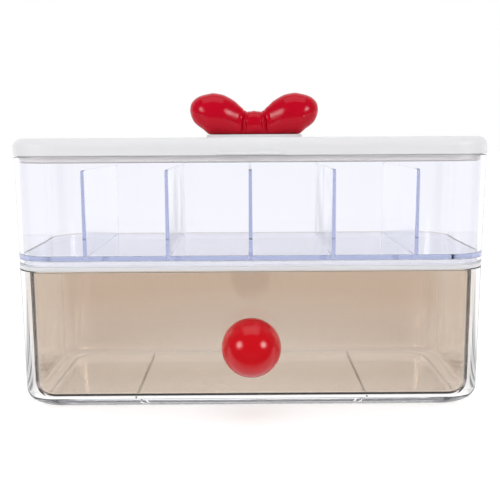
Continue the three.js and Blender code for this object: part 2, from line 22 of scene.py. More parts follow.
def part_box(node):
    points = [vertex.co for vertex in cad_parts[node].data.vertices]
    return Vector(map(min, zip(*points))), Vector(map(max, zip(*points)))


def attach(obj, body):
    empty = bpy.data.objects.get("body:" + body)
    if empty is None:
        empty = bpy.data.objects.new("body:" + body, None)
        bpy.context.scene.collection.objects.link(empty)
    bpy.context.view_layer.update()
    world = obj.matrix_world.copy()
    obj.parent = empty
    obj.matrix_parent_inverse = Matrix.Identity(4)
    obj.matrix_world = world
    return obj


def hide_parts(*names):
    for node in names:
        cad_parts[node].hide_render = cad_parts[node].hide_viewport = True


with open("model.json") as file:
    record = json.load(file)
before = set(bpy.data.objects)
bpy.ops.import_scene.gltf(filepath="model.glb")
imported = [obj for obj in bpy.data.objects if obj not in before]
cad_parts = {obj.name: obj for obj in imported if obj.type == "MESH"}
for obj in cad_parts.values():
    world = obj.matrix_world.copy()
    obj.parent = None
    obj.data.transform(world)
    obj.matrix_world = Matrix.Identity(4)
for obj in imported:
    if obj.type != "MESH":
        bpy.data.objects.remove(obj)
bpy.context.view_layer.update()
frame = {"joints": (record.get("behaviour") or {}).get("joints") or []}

HINGE = Vector(frame["joints"][0]["pos_m"])
log = logging.getLogger("organizer")


def mm(length: float) -> float:
    """Millimetres in metres."""
    return length * 0.001


# Fineness of the meshes
CORNER_STEPS = 20
EDGE_STEPS = 6
SMALL_STEPS = 3
ROUND_STEPS = 48
BROKEN_STEPS = 2
SMOOTH_LIMIT = math.radians(38)
MERGE_DISTANCE = mm(0.0005)

# How far a cut reaches past what it cuts, the height of a moulding's first block, the least radius that a
# ring keeps, and the least part along an axis by which an edge counts as lying along it
CUT_OVERRUN = mm(2)
FIRST_RISE = mm(1)
SMALLEST_RADIUS = mm(0.1)
ALONG = 0.9

# Sizes that several pieces share
BODY_CORNER = mm(20)
WELD = mm(0.5)
HINGE_SPACING = mm(140)
EAR_WIDTH = mm(9)
KNUCKLE_RADIUS = mm(2.9)
KNUCKLE_EDGE = mm(0.3)
PIN_BORE = mm(1.3)
SCREW_HOLE = mm(1.75)

# Where most values of a noise lie
NOISE_SPAN = (0.3, 0.7)


class Body(Enum):
    """The CAD bodies, which the pieces ride on."""

    BASE = "base"
    LID = "lid"
    DRAWER = "drawer"


class Slot(Enum):
    """The record's material slots."""

    CLEAR = "clear_plastic"
    SMOKY = "smoky_plastic"
    WHITE = "white_plastic"
    RED = "red_plastic"
    STEEL = "steel"


class Finish(Enum):
    """The finishes of the pieces."""

    CLEAR = "clear_polystyrene"
    NEUTRAL = "neutral_polystyrene"
    SMOKY = "smoky_polystyrene"
    WHITE = "white_abs"
    # The lid liner's white plastic, made darker and warmer as painted shade for where the lid shades it
    SHADED_WHITE = "milky_abs"
    CRIMSON = "crimson_abs"
    SCARLET = "scarlet_abs"
    STEEL = "zinc_plated_steel"


class Boolean(Enum):
    """What a boolean does with its second shape."""

    CUT = "DIFFERENCE"
    JOIN = "UNION"
    KEEP = "INTERSECT"


class Axis(Enum):
    """The axis that a turned piece stands on, as the turn that brings Z there."""

    X = Matrix.Rotation(math.radians(90), 4, "Y")
    Y = Matrix.Rotation(math.radians(-90), 4, "X")
    Z = Matrix.Identity(4)


# Nodes and finishes


def linear(hex_colour: str) -> tuple[float, ...]:
    """Turns a colour from six sRGB hex digits to linear light, with an alpha of one."""
    channels = [int(hex_colour[i : i + 2], 16) / 255 for i in (0, 2, 4)]
    return (*(c / 12.92 if c <= 0.04045 else ((c + 0.055) / 1.055) ** 2.4 for c in channels), 1.0)


def add_node(
    tree: NodeTree, kind: str, inputs: Mapping[str | int, object] | None = None, **settings: object
) -> Node:
    """Adds a node with its settings and links.

    Args:
        tree: the node tree that takes it.
        kind: its type, without the leading ShaderNode.
        inputs: for each input, by name or number, its value, the output that feeds it, or the node whose
            first output feeds it.
        **settings: its properties.

    Returns:
        The new node.
    """
    node = tree.nodes.new("ShaderNode" + kind)
    for name, value in settings.items():
        setattr(node, name, value)
    for name, value in (inputs or {}).items():
        feed = value.outputs[0] if isinstance(value, Node) else value
        if isinstance(feed, NodeSocket):
            tree.links.new(feed, node.inputs[name])
        else:
            node.inputs[name].default_value = feed
    return node


Shade = Callable[[NodeTree], Mapping[str, Node]]


def dress(holder: bpy.types.ID, output: str, shade: Shade) -> None:
    """Gives a material, a lamp or a world its nodes.

    Args:
        holder: what takes the nodes.
        output: the kind of its output node.
        shade: adds the nodes to its tree, and returns what feeds the output.
    """
    holder.use_nodes = True
    holder.node_tree.nodes.clear()
    add_node(holder.node_tree, output, shade(holder.node_tree))


def new_material(name: str, shade: Shade) -> bpy.types.Material:
    """Makes a material.

    Args:
        name: its name.
        shade: adds its nodes, and returns what feeds its output.

    Returns:
        The material.
    """
    material = bpy.data.materials.new(name)
    dress(material, "OutputMaterial", shade)
    return material


def by_ray(tree: NodeTree, usual: Node, kinds: Sequence[tuple[NodeSocket | Node, Node]]) -> Node:
    """Lets kinds of rays meet surfaces of their own.

    Args:
        tree: the node tree that takes the nodes.
        usual: the surface for all other rays.
        kinds: pairs of what is 1 for a kind of ray and its surface, of which the last that fits counts.

    Returns:
        The node with the whole surface.
    """
    for ray, surface in kinds:
        usual = add_node(tree, "MixShader", {0: ray, 1: usual, 2: surface})
    return usual


@dataclass(frozen=True)
class Turn:
    """A value that goes over to another while a measure rises.

    Attributes:
        span: the measures where it starts and ends.
        values: the values before and after it.
        kind: how it goes over, smoothly or in a line.
    """

    span: tuple[float, float]
    values: tuple[float, float]
    kind: str = "SMOOTHSTEP"

    def add(self, tree: NodeTree, measure: NodeSocket | Node) -> Node:
        """Adds the node that turns on a measure."""
        ends = dict(zip(("From Min", "From Max", "To Min", "To Max"), self.span + self.values))
        return add_node(tree, "MapRange", {"Value": measure, **ends}, interpolation_type=self.kind)


def surface_relief(
    tree: NodeTree, grain: float, height: float, roughness: tuple[float, float]
) -> dict[str, Node]:
    """Adds the faint waviness that a polished mould leaves, and the uneven gloss that goes with it.

    Args:
        tree: the node tree that takes the nodes.
        grain: the size of one wave.
        height: the height of the waves.
        roughness: the lowest and the highest roughness.

    Returns:
        The inputs of the surface that take them.
    """
    place = add_node(tree, "TexCoord").outputs["Object"]
    texture = {"Vector": place, "Scale": 1 / grain, "Detail": 3.0, "Roughness": 0.45}
    waves = add_node(tree, "TexNoise", texture)
    normal = add_node(tree, "Bump", {"Height": waves, "Strength": 1.0, "Distance": height})
    return {"Normal": normal, "Roughness": Turn(NOISE_SPAN, roughness, "LINEAR").add(tree, waves)}


@dataclass(frozen=True)
class ClearMoulding:
    """See-through polystyrene, injection moulded in a polished mould.

    It is glossy on both faces, bends what lies behind it, and takes its colour from its depth: a wall seen
    through is nearly clear, and a wall seen along its length shows the tint of the resin.

    Attributes:
        taken: the light that a metre of the resin takes, as an exponent in red, green and blue.
        lamp_tint: the colour of one crossing for the light of the lamps.
        crossing: the colour that its two faces give what is seen through them.
        ior: the index of refraction.
        wave: the length of the mould's faint waves.
        wave_height: the height of those waves.
        roughness: the range of the roughness.
    """

    taken: tuple[float, float, float]
    lamp_tint: str
    crossing: str = "ffffff"
    ior: float = 1.52
    wave: float = mm(35)
    wave_height: float = mm(0.05)
    roughness: tuple[float, float] = (0.012, 0.03)

    def shade(self, tree: NodeTree) -> dict[str, Node]:
        """Adds the material's nodes.

        Args:
            tree: its node tree.

        Returns:
            The surface and the volume.
        """
        inputs = {"Base Color": linear(self.crossing), "IOR": self.ior, "Transmission Weight": 1.0}
        relief = surface_relief(tree, self.wave, self.wave_height, self.roughness)
        body = add_node(tree, "BsdfPrincipled", inputs | relief)
        lit = add_node(tree, "BsdfTransparent", {"Color": linear(self.lamp_tint)})
        shadow = add_node(tree, "LightPath").outputs["Is Shadow Ray"]
        density = max(self.taken)
        colour = (*(1 - taken / density for taken in self.taken), 1.0)
        depth = add_node(tree, "VolumeAbsorption", {"Color": colour, "Density": density})
        return {"Surface": by_ray(tree, body, [(shadow, lit)]), "Volume": depth}


@dataclass(frozen=True)
class OpaqueMoulding:
    """ABS, injection moulded in a polished mould.

    Its colour is all through it and barely cloudy. The gloss is even, with the slight orange peel of a
    thick moulding, which breaks the outline of a reflected lamp.

    Attributes:
        colour: the colour of the resin.
        streak: the colour where the melt met a little more pigment.
        roughness: the range of the roughness.
        ior: the index of refraction.
        shine: how strong its mirror images are, where 0.5 is the resin's own strength.
        cloud: the size of the clouds of pigment.
        peel: the size of the orange peel.
        peel_height: its height.
    """

    colour: str
    streak: str
    roughness: tuple[float, float]
    ior: float = 1.53
    shine: float = 0.5
    cloud: float = mm(60)
    peel: float = mm(6)
    peel_height: float = mm(0.012)

    def shade(self, tree: NodeTree) -> dict[str, Node]:
        """Adds the material's nodes.

        Args:
            tree: its node tree.

        Returns:
            The surface.
        """
        place = add_node(tree, "TexCoord").outputs["Object"]
        clouds = add_node(tree, "TexNoise", {"Vector": place, "Scale": 1 / self.cloud, "Detail": 1.0})
        ramp = add_node(tree, "ValToRGB", {"Fac": clouds})
        for stop, at, shade in zip(ramp.color_ramp.elements, NOISE_SPAN, (self.colour, self.streak)):
            stop.position, stop.color = at, linear(shade)
        inputs = {"Base Color": ramp, "IOR": self.ior, "Specular IOR Level": self.shine}
        relief = surface_relief(tree, self.peel, self.peel_height, self.roughness)
        return {"Surface": add_node(tree, "BsdfPrincipled", inputs | relief)}


@dataclass(frozen=True)
class PlatedSteel:
    """Zinc-plated steel wire, drawn and cut to pins and screws.

    The plating is bright with fine drawing lines along the wire and a slightly uneven gloss.

    Attributes:
        colour: the colour of the plating.
        line: the spacing of the drawing lines.
        line_height: their height.
        roughness: the range of the roughness.
    """

    colour: str = "c3c6ca"
    line: float = mm(0.25)
    line_height: float = mm(0.004)
    roughness: tuple[float, float] = (0.2, 0.28)

    def shade(self, tree: NodeTree) -> dict[str, Node]:
        """Adds the material's nodes.

        Args:
            tree: its node tree.

        Returns:
            The surface.
        """
        relief = surface_relief(tree, self.line, self.line_height, self.roughness)
        inputs = {"Base Color": linear(self.colour), "Metallic": 1.0}
        return {"Surface": add_node(tree, "BsdfPrincipled", inputs | relief)}


def make_finishes() -> dict[Finish, bpy.types.Material]:
    """Makes the materials, which the pieces share.

    Returns:
        The material of each finish.
    """
    white = {"roughness": (0.34, 0.4), "peel_height": mm(0.006)}
    red = {"roughness": (0.11, 0.16)}
    kinds = {
        Finish.CLEAR: ClearMoulding((8.6, 7.6, 4.2), lamp_tint="fdfdfe", crossing="fcfcff"),
        Finish.NEUTRAL: ClearMoulding((0.9, 0.9, 0.7), lamp_tint="fdfdfe"),
        Finish.SMOKY: ClearMoulding((108, 148, 189), lamp_tint="ece6e1"),
        Finish.WHITE: OpaqueMoulding("ebebee", "e9e9ec", **white),
        # The liner is the white plastic again, darker and warmer: painted shade, not a different resin
        Finish.SHADED_WHITE: OpaqueMoulding("e1dedb", "dedbd8", **white),
        Finish.CRIMSON: OpaqueMoulding("c70525", "c30422", **red, shine=0.24),
        Finish.SCARLET: OpaqueMoulding("d40c1b", "d00b19", **red, shine=0.4),
        Finish.STEEL: PlatedSteel(),
    }
    return {finish: new_material(finish.value, kind.shade) for finish, kind in kinds.items()}


# Shapes


@dataclass(frozen=True)
class Ring:
    """A level rectangle with round corners, one ring of a moulding.

    Attributes:
        left: its lowest X.
        right: its highest X.
        front: its lowest Y.
        back: its highest Y.
        front_radius: the radius of its two front corners.
        rear_radius: the radius of its two rear corners.
        z: its level.
    """

    left: float
    right: float
    front: float
    back: float
    front_radius: float
    rear_radius: float
    z: float = 0.0

    def grown(self, side: float, front: float | None = None, back: float | None = None) -> "Ring":
        """Moves the sides out, or in where the growth is negative.

        Args:
            side: the growth to the left and right.
            front: the growth to the front, or None for the same.
            back: the growth to the back, or None for the same.

        Returns:
            The grown ring.
        """
        front = side if front is None else front
        back = side if back is None else back
        sides = (self.left - side, self.right + side, self.front - front, self.back + back)
        radii = (self.front_radius + front, self.rear_radius + back)
        return Ring(*sides, *(max(radius, SMALLEST_RADIUS) for radius in radii), self.z)

    def at(self, z: float) -> "Ring":
        """The same ring at another level."""
        return replace(self, z=z)

    def away(self, other: "Ring") -> float:
        """The greatest way that a side moves between this ring and another, with the rise."""
        moves = [abs(a - b) for a, b in zip(astuple(self), astuple(other))]
        return math.hypot(max(moves[:4]), moves[-1])

    def toward(self, other: "Ring", share: float) -> "Ring":
        """The ring at a share of the way to another."""
        return Ring(*(a + (b - a) * share for a, b in zip(astuple(self), astuple(other))))

    def corner(self, point: Vector) -> tuple[Vector, float]:
        """Finds the corner that a point belongs to.

        Args:
            point: a point near the ring.

        Returns:
            The middle of the corner's arc, at the ring's level, and its radius.
        """
        rear = point.y > (self.front + self.back) / 2
        radius = self.rear_radius if rear else self.front_radius
        x = self.right - radius if point.x > (self.left + self.right) / 2 else self.left + radius
        y = self.back - radius if rear else self.front + radius
        return Vector((x, y, self.z)), radius


class Moulding:
    """A closed solid that is raised ring by ring from a level face with round corners."""

    def __init__(self, first: Ring) -> None:
        """Makes the first face.

        Args:
            first: its ring.
        """
        self.ring = first
        self.bm = block((first.left, first.front, first.z), (first.right, first.back, first.z + FIRST_RISE))
        middle = (first.front + first.back) / 2
        for rear, radius in ((False, first.front_radius), (True, first.rear_radius)):
            corners = edges_where(self.bm, lambda at, way: abs(way.z) > ALONG and (at.y > middle) == rear)
            bevel(self.bm, corners, radius, CORNER_STEPS)
        self.face = max(self.bm.faces, key=lambda face: face.calc_center_median().z)
        self.fresh = True

    def go(self, ring: Ring) -> "Moulding":
        """Raises the open face to a new ring.

        Args:
            ring: the ring.

        Returns:
            The moulding.
        """
        if not self.fresh:
            self.face = pulled(self.bm, self.face)
        self.fresh = False
        for vert in self.face.verts:
            old_middle, old_radius = self.ring.corner(vert.co)
            new_middle, new_radius = ring.corner(vert.co)
            offset = (vert.co - old_middle) * (new_radius / old_radius)
            vert.co = Vector((new_middle.x + offset.x, new_middle.y + offset.y, ring.z))
        self.ring = ring
        return self

    def bend(self, corner: Ring, end: Ring, steps: int = EDGE_STEPS) -> "Moulding":
        """Raises the open face along a round edge.

        Args:
            corner: the ring where the two faces would meet without the rounding.
            end: the ring where the rounding ends.
            steps: the steps of the rounding.

        Returns:
            The moulding.
        """
        start = self.ring
        pull = math.sqrt(0.5)
        for step in range(1, steps + 1):
            t = step / steps
            weights = ((1 - t) ** 2, 2 * pull * t * (1 - t), t**2)
            rings = zip(astuple(start), astuple(corner), astuple(end))
            self.go(Ring(*(sum(w * n for w, n in zip(weights, trio)) / sum(weights) for trio in rings)))
        return self

    def through(self, *turns: tuple[Ring, float]) -> "Moulding":
        """Raises the open face through rings, each with the radius of its rounding.

        Args:
            *turns: the rings, each with its radius, which is zero for a sharp edge.

        Returns:
            The moulding.
        """
        for place, (ring, radius) in enumerate(turns):
            if radius <= 0 or place == len(turns) - 1:
                self.go(ring)
                continue
            following = turns[place + 1][0]
            self.go(ring.toward(self.ring, radius / ring.away(self.ring)))
            self.bend(ring, ring.toward(following, radius / ring.away(following)))
        return self

    def done(self) -> BMesh:
        """Closes the mesh and turns its faces out.

        Returns:
            The finished mesh.
        """
        bmesh.ops.remove_doubles(self.bm, verts=self.bm.verts, dist=MERGE_DISTANCE)
        bmesh.ops.recalc_face_normals(self.bm, faces=self.bm.faces)
        return self.bm


def bevel(bm: BMesh, edges: Iterable[BMEdge], radius: float, steps: int) -> None:
    """Rounds edges of a mesh by a radius, in steps."""
    bmesh.ops.bevel(
        bm, geom=list(edges), offset=radius, segments=steps, profile=0.5, affect="EDGES", material=-1
    )


def pulled(bm: BMesh, face: BMFace) -> BMFace:
    """Extrudes a face in place.

    Args:
        bm: the mesh.
        face: the face, which is used up.

    Returns:
        The new face.
    """
    made = bmesh.ops.extrude_face_region(bm, geom=[face])["geom"]
    bmesh.ops.delete(bm, geom=[face], context="FACES_ONLY")
    return next(item for item in made if isinstance(item, BMFace))


def block(low: Sequence[float], high: Sequence[float]) -> BMesh:
    """A box.

    Args:
        low: its corner with the lowest coordinates.
        high: its corner with the highest coordinates.

    Returns:
        The closed mesh.
    """
    bm = bmesh.new()
    middle = Matrix.Translation([(a + b) / 2 for a, b in zip(low, high)])
    size = Matrix.Diagonal([b - a for a, b in zip(low, high)] + [1])
    bmesh.ops.create_cube(bm, size=1, matrix=middle @ size)
    return bm


def edges_where(bm: BMesh, test: Callable[[Vector, Vector], bool]) -> list[BMEdge]:
    """The edges whose middle and direction pass a test."""
    ends = [(edge, *(vert.co for vert in edge.verts)) for edge in bm.edges]
    return [edge for edge, a, b in ends if test((a + b) / 2, (b - a).normalized())]


def turned(profile: Sequence[tuple[float, float]], axis: Axis, middle: Sequence[float]) -> BMesh:
    """A round piece turned from a profile.

    Args:
        profile: pairs of a radius and a place along the axis, which start and end on the axis.
        axis: the axis.
        middle: the point on the axis that the places count from.

    Returns:
        The closed mesh.
    """
    bm = bmesh.new()
    verts = [bm.verts.new((radius, 0, along)) for radius, along in profile]
    edges = [bm.edges.new(pair) for pair in zip(verts, verts[1:])]
    bmesh.ops.spin(
        bm, geom=verts + edges, axis=(0, 0, 1), angle=math.tau, steps=ROUND_STEPS, use_merge=True
    )
    bmesh.ops.remove_doubles(bm, verts=bm.verts, dist=MERGE_DISTANCE)
    bmesh.ops.recalc_face_normals(bm, faces=bm.faces)
    bmesh.ops.transform(bm, matrix=Matrix.Translation(middle) @ axis.value, verts=bm.verts)
    return bm


def rod(
    radius: float, start: float, end: float, axis: Axis, middle: Sequence[float], edge: float = 0.0
) -> BMesh:
    """A round bar with its two rims rounded.

    Args:
        radius: its radius.
        start: its low end along the axis.
        end: its high end along the axis.
        axis: its axis.
        middle: the point on the axis that the ends count from.
        edge: the radius of the rims.

    Returns:
        The closed mesh.
    """
    steps = range(SMALL_STEPS + 1) if edge else [SMALL_STEPS]
    turns = [math.radians(90 - 90 / SMALL_STEPS * step) for step in steps]
    rim = [(radius - edge * (1 - math.cos(turn)), edge * (1 - math.sin(turn))) for turn in turns]
    low = [(r, start + drop) for r, drop in rim]
    high = [(r, end - drop) for r, drop in reversed(rim)]
    return turned([(0.0, start), *low, *high, (0.0, end)], axis, middle)


def gathered(*parts: BMesh) -> BMesh:
    """Puts several closed shapes into one mesh.

    Args:
        *parts: the shapes, which are used up.

    Returns:
        The mesh that holds them as they are.
    """
    mesh = bpy.data.meshes.new("part")
    whole = bmesh.new()
    for part in parts:
        part.to_mesh(mesh)
        whole.from_mesh(mesh)
        part.free()
    bpy.data.meshes.remove(mesh)
    return whole


def linked(name: str, data: bpy.types.ID) -> bpy.types.Object:
    """Makes an object in the scene.

    Args:
        name: its name.
        data: its mesh, lamp or camera.

    Returns:
        The object.
    """
    made = bpy.data.objects.new(name, data)
    bpy.context.scene.collection.objects.link(made)
    return made


def new_object(name: str, bm: BMesh) -> bpy.types.Object:
    """Makes an object in the scene from a mesh.

    Args:
        name: its name.
        bm: the mesh, which is used up.

    Returns:
        The object.
    """
    mesh = bpy.data.meshes.new(name)
    bm.to_mesh(mesh)
    bm.free()
    return linked(name, mesh)


def add_modifier(piece: bpy.types.Object, name: str, kind: str, **settings: object) -> None:
    """Adds a modifier to a piece.

    Args:
        piece: the piece.
        name: the modifier's name.
        kind: its type.
        **settings: its properties.
    """
    modifier = piece.modifiers.new(name, kind)
    for setting, value in settings.items():
        setattr(modifier, setting, value)


def boolean(first: BMesh, second: BMesh, kind: Boolean) -> BMesh:
    """Cuts, joins or keeps what two closed shapes share.

    Args:
        first: the shape that is worked on.
        second: the shape that works on it.
        kind: what is done.

    Returns:
        The resulting mesh.
    """
    holder, tool = (new_object("boolean", bm) for bm in (first, second))
    settings = {"operation": kind.value, "object": tool, "use_self": kind is Boolean.JOIN}
    add_modifier(holder, "boolean", "BOOLEAN", solver="EXACT", **settings)
    result = bmesh.new()
    result.from_object(holder, bpy.context.evaluated_depsgraph_get())
    for used in (holder, tool):
        mesh = used.data
        bpy.data.objects.remove(used)
        bpy.data.meshes.remove(mesh)
    bmesh.ops.remove_doubles(result, verts=result.verts, dist=MERGE_DISTANCE)
    return result


def middle_and_reach(node: str) -> tuple[list[float], list[float]]:
    """The middle of a CAD node's box, and half its sizes."""
    low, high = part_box(node)
    return [(a + b) / 2 for a, b in zip(low, high)], [(b - a) / 2 for a, b in zip(low, high)]


def body_ring() -> Ring:
    """The plan that the housing's top, the deck and the tray's foot share."""
    low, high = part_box("drawer_housing")
    return Ring(low.x, high.x, low.y, high.y, BODY_CORNER, BODY_CORNER)


def hinge_part(web: BMesh, x: float, reach: float) -> BMesh:
    """Joins a knuckle of the lid's hinge to its web, and bores it for the pin.

    Args:
        web: the web, which is used up.
        x: the knuckle's middle.
        reach: half its width.

    Returns:
        The web with the knuckle.
    """
    middle = (x, HINGE.y, HINGE.z)
    whole = boolean(web, rod(KNUCKLE_RADIUS, -reach, reach, Axis.X, middle, KNUCKLE_EDGE), Boolean.JOIN)
    return boolean(whole, rod(PIN_BORE, -2 * reach, 2 * reach, Axis.X, middle), Boolean.CUT)


# Pieces


@dataclass
class SubAssembly:
    """A group of pieces that ride on one body.

    Attributes:
        finishes: the shared materials.
        body: the CAD body.
    """

    finishes: Mapping[Finish, bpy.types.Material]
    body = Body.BASE

    def place(self, bm: BMesh, name: str, finish: Finish, node: str, rounding: float = 0.0) -> None:
        """Makes a piece from its finished mesh, smooth but for its sharp edges.

        Args:
            bm: the mesh, which is used up.
            name: the piece's name.
            finish: its finish.
            node: the CAD node that it stands for.
            rounding: the radius that its sharp edges are broken by.
        """
        for face in bm.faces:
            face.smooth = True
        for edge in bm.edges:
            edge.smooth = edge.calc_face_angle(0.0) < SMOOTH_LIMIT
        piece = new_object(name, bm)
        if rounding:
            limit = {"limit_method": "ANGLE", "angle_limit": SMOOTH_LIMIT}
            add_modifier(piece, "broken_edges", "BEVEL", width=rounding, segments=BROKEN_STEPS, **limit)
        add_modifier(piece, "even_shading", "WEIGHTED_NORMAL", keep_sharp=True)
        piece.data.materials.append(self.finishes[finish])
        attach(piece, self.body.value)
        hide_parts(node)
        log.info("%s: %d faces", name, len(piece.data.polygons))


@dataclass
class Housing(SubAssembly):
    """The clear housing, open in front, with two runner ribs on its floor."""

    wall: float = mm(2.75)
    floor: float = mm(2.5)
    taper: float = mm(0.7)
    foot: float = mm(5.5)
    front_foot: float = mm(1.5)
    inner_foot: float = mm(3.2)
    rim: float = mm(0.4)
    edge: float = mm(0.25)
    window_reach: float = mm(110)
    window_sill: float = mm(5)
    window_corner: float = mm(7)
    window_depth: float = mm(10)
    rib_spacing: float = mm(118)
    rib_width: float = mm(1.2)
    rib_draft: float = 0.5
    rib_rear_space: float = mm(14)

    def build(self) -> None:
        """Makes the housing."""
        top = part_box("drawer_housing")[1].z
        outside = body_ring()
        foot = outside.grown(-self.taper)
        inner_foot = foot.grown(-self.wall)
        inside = outside.grown(-self.wall)
        low = foot.grown(-self.foot, -self.front_foot, -self.foot)
        shell = Moulding(low.grown(-self.foot)).go(low)
        shell.bend(foot, foot.toward(outside.at(top), self.foot / top), 2 * EDGE_STEPS)
        shell.through(
            (outside.at(top), self.rim),
            (inside.at(top), self.rim),
            (inner_foot.at(self.floor), self.inner_foot),
            (inner_foot.grown(-2 * self.inner_foot).at(self.floor), 0),
        )
        body = boolean(shell.done(), self.window(outside, top), Boolean.CUT)
        reach = self.rib_width / 2
        for x in (-self.rib_spacing / 2, self.rib_spacing / 2):
            rib = block(
                (x - reach, inner_foot.front - WELD, self.floor - WELD),
                (x + reach, inner_foot.back - self.rib_rear_space, self.window_sill),
            )
            for vert in rib.verts:
                if vert.co.z > self.floor:
                    vert.co.x = x + (vert.co.x - x) * self.rib_draft
            body = boolean(body, rib, Boolean.JOIN)
        self.place(body, "housing_shell", Finish.NEUTRAL, "drawer_housing", self.edge)

    def window(self, outside: Ring, top: float) -> BMesh:
        """The space that the front window takes.

        Args:
            outside: the housing's plan.
            top: the housing's top.

        Returns:
            A block with its two lower corners rounded.
        """
        space = block(
            (-self.window_reach, outside.front - CUT_OVERRUN, self.window_sill),
            (self.window_reach, outside.front + self.window_depth, top + CUT_OVERRUN),
        )
        low = edges_where(space, lambda at, way: abs(way.y) > ALONG and at.z < top / 2)
        bevel(space, low, self.window_corner, CORNER_STEPS)
        return space


@dataclass
class Deck(SubAssembly):
    """The white plate between the housing and the tray."""

    plug_gap: float = mm(3.05)
    upstand_gap: float = mm(2.5)
    rim_wall: float = mm(2.2)
    plug_depth: float = mm(2.2)
    thickness: float = mm(2.1)
    edge: float = mm(0.35)
    lip_edge: float = mm(0.4)

    def build(self) -> None:
        """Makes the deck."""
        low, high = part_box("deck_plate")
        outside = body_ring()
        plate_low = low.z + self.plug_depth
        plate_top = plate_low + self.thickness
        plug = outside.grown(-self.plug_gap)
        plug_inside = plug.grown(-self.rim_wall)
        upstand = outside.grown(-self.upstand_gap)
        upstand_inside = upstand.grown(-self.rim_wall)
        plate = Moulding(plug_inside.grown(-self.rim_wall).at(plate_low)).through(
            (plug_inside.at(plate_low), self.lip_edge),
            (plug_inside.at(low.z), self.lip_edge),
            (plug.at(low.z), self.lip_edge),
            (plug.at(plate_low), 0),
            (outside.at(plate_low), self.edge),
            (outside.at(plate_top), self.edge),
            (upstand.at(plate_top), 0),
            (upstand.at(high.z), self.lip_edge),
            (upstand_inside.at(high.z), self.lip_edge),
            (upstand_inside.at(plate_top), self.lip_edge),
            (upstand_inside.grown(-self.rim_wall).at(plate_top), 0),
        )
        opening = block(
            (outside.left, outside.front, low.z - CUT_OVERRUN),
            (outside.right, outside.front + outside.front_radius, plate_low),
        )
        self.place(boolean(plate.done(), opening, Boolean.CUT), "deck", Finish.WHITE, "deck_plate")


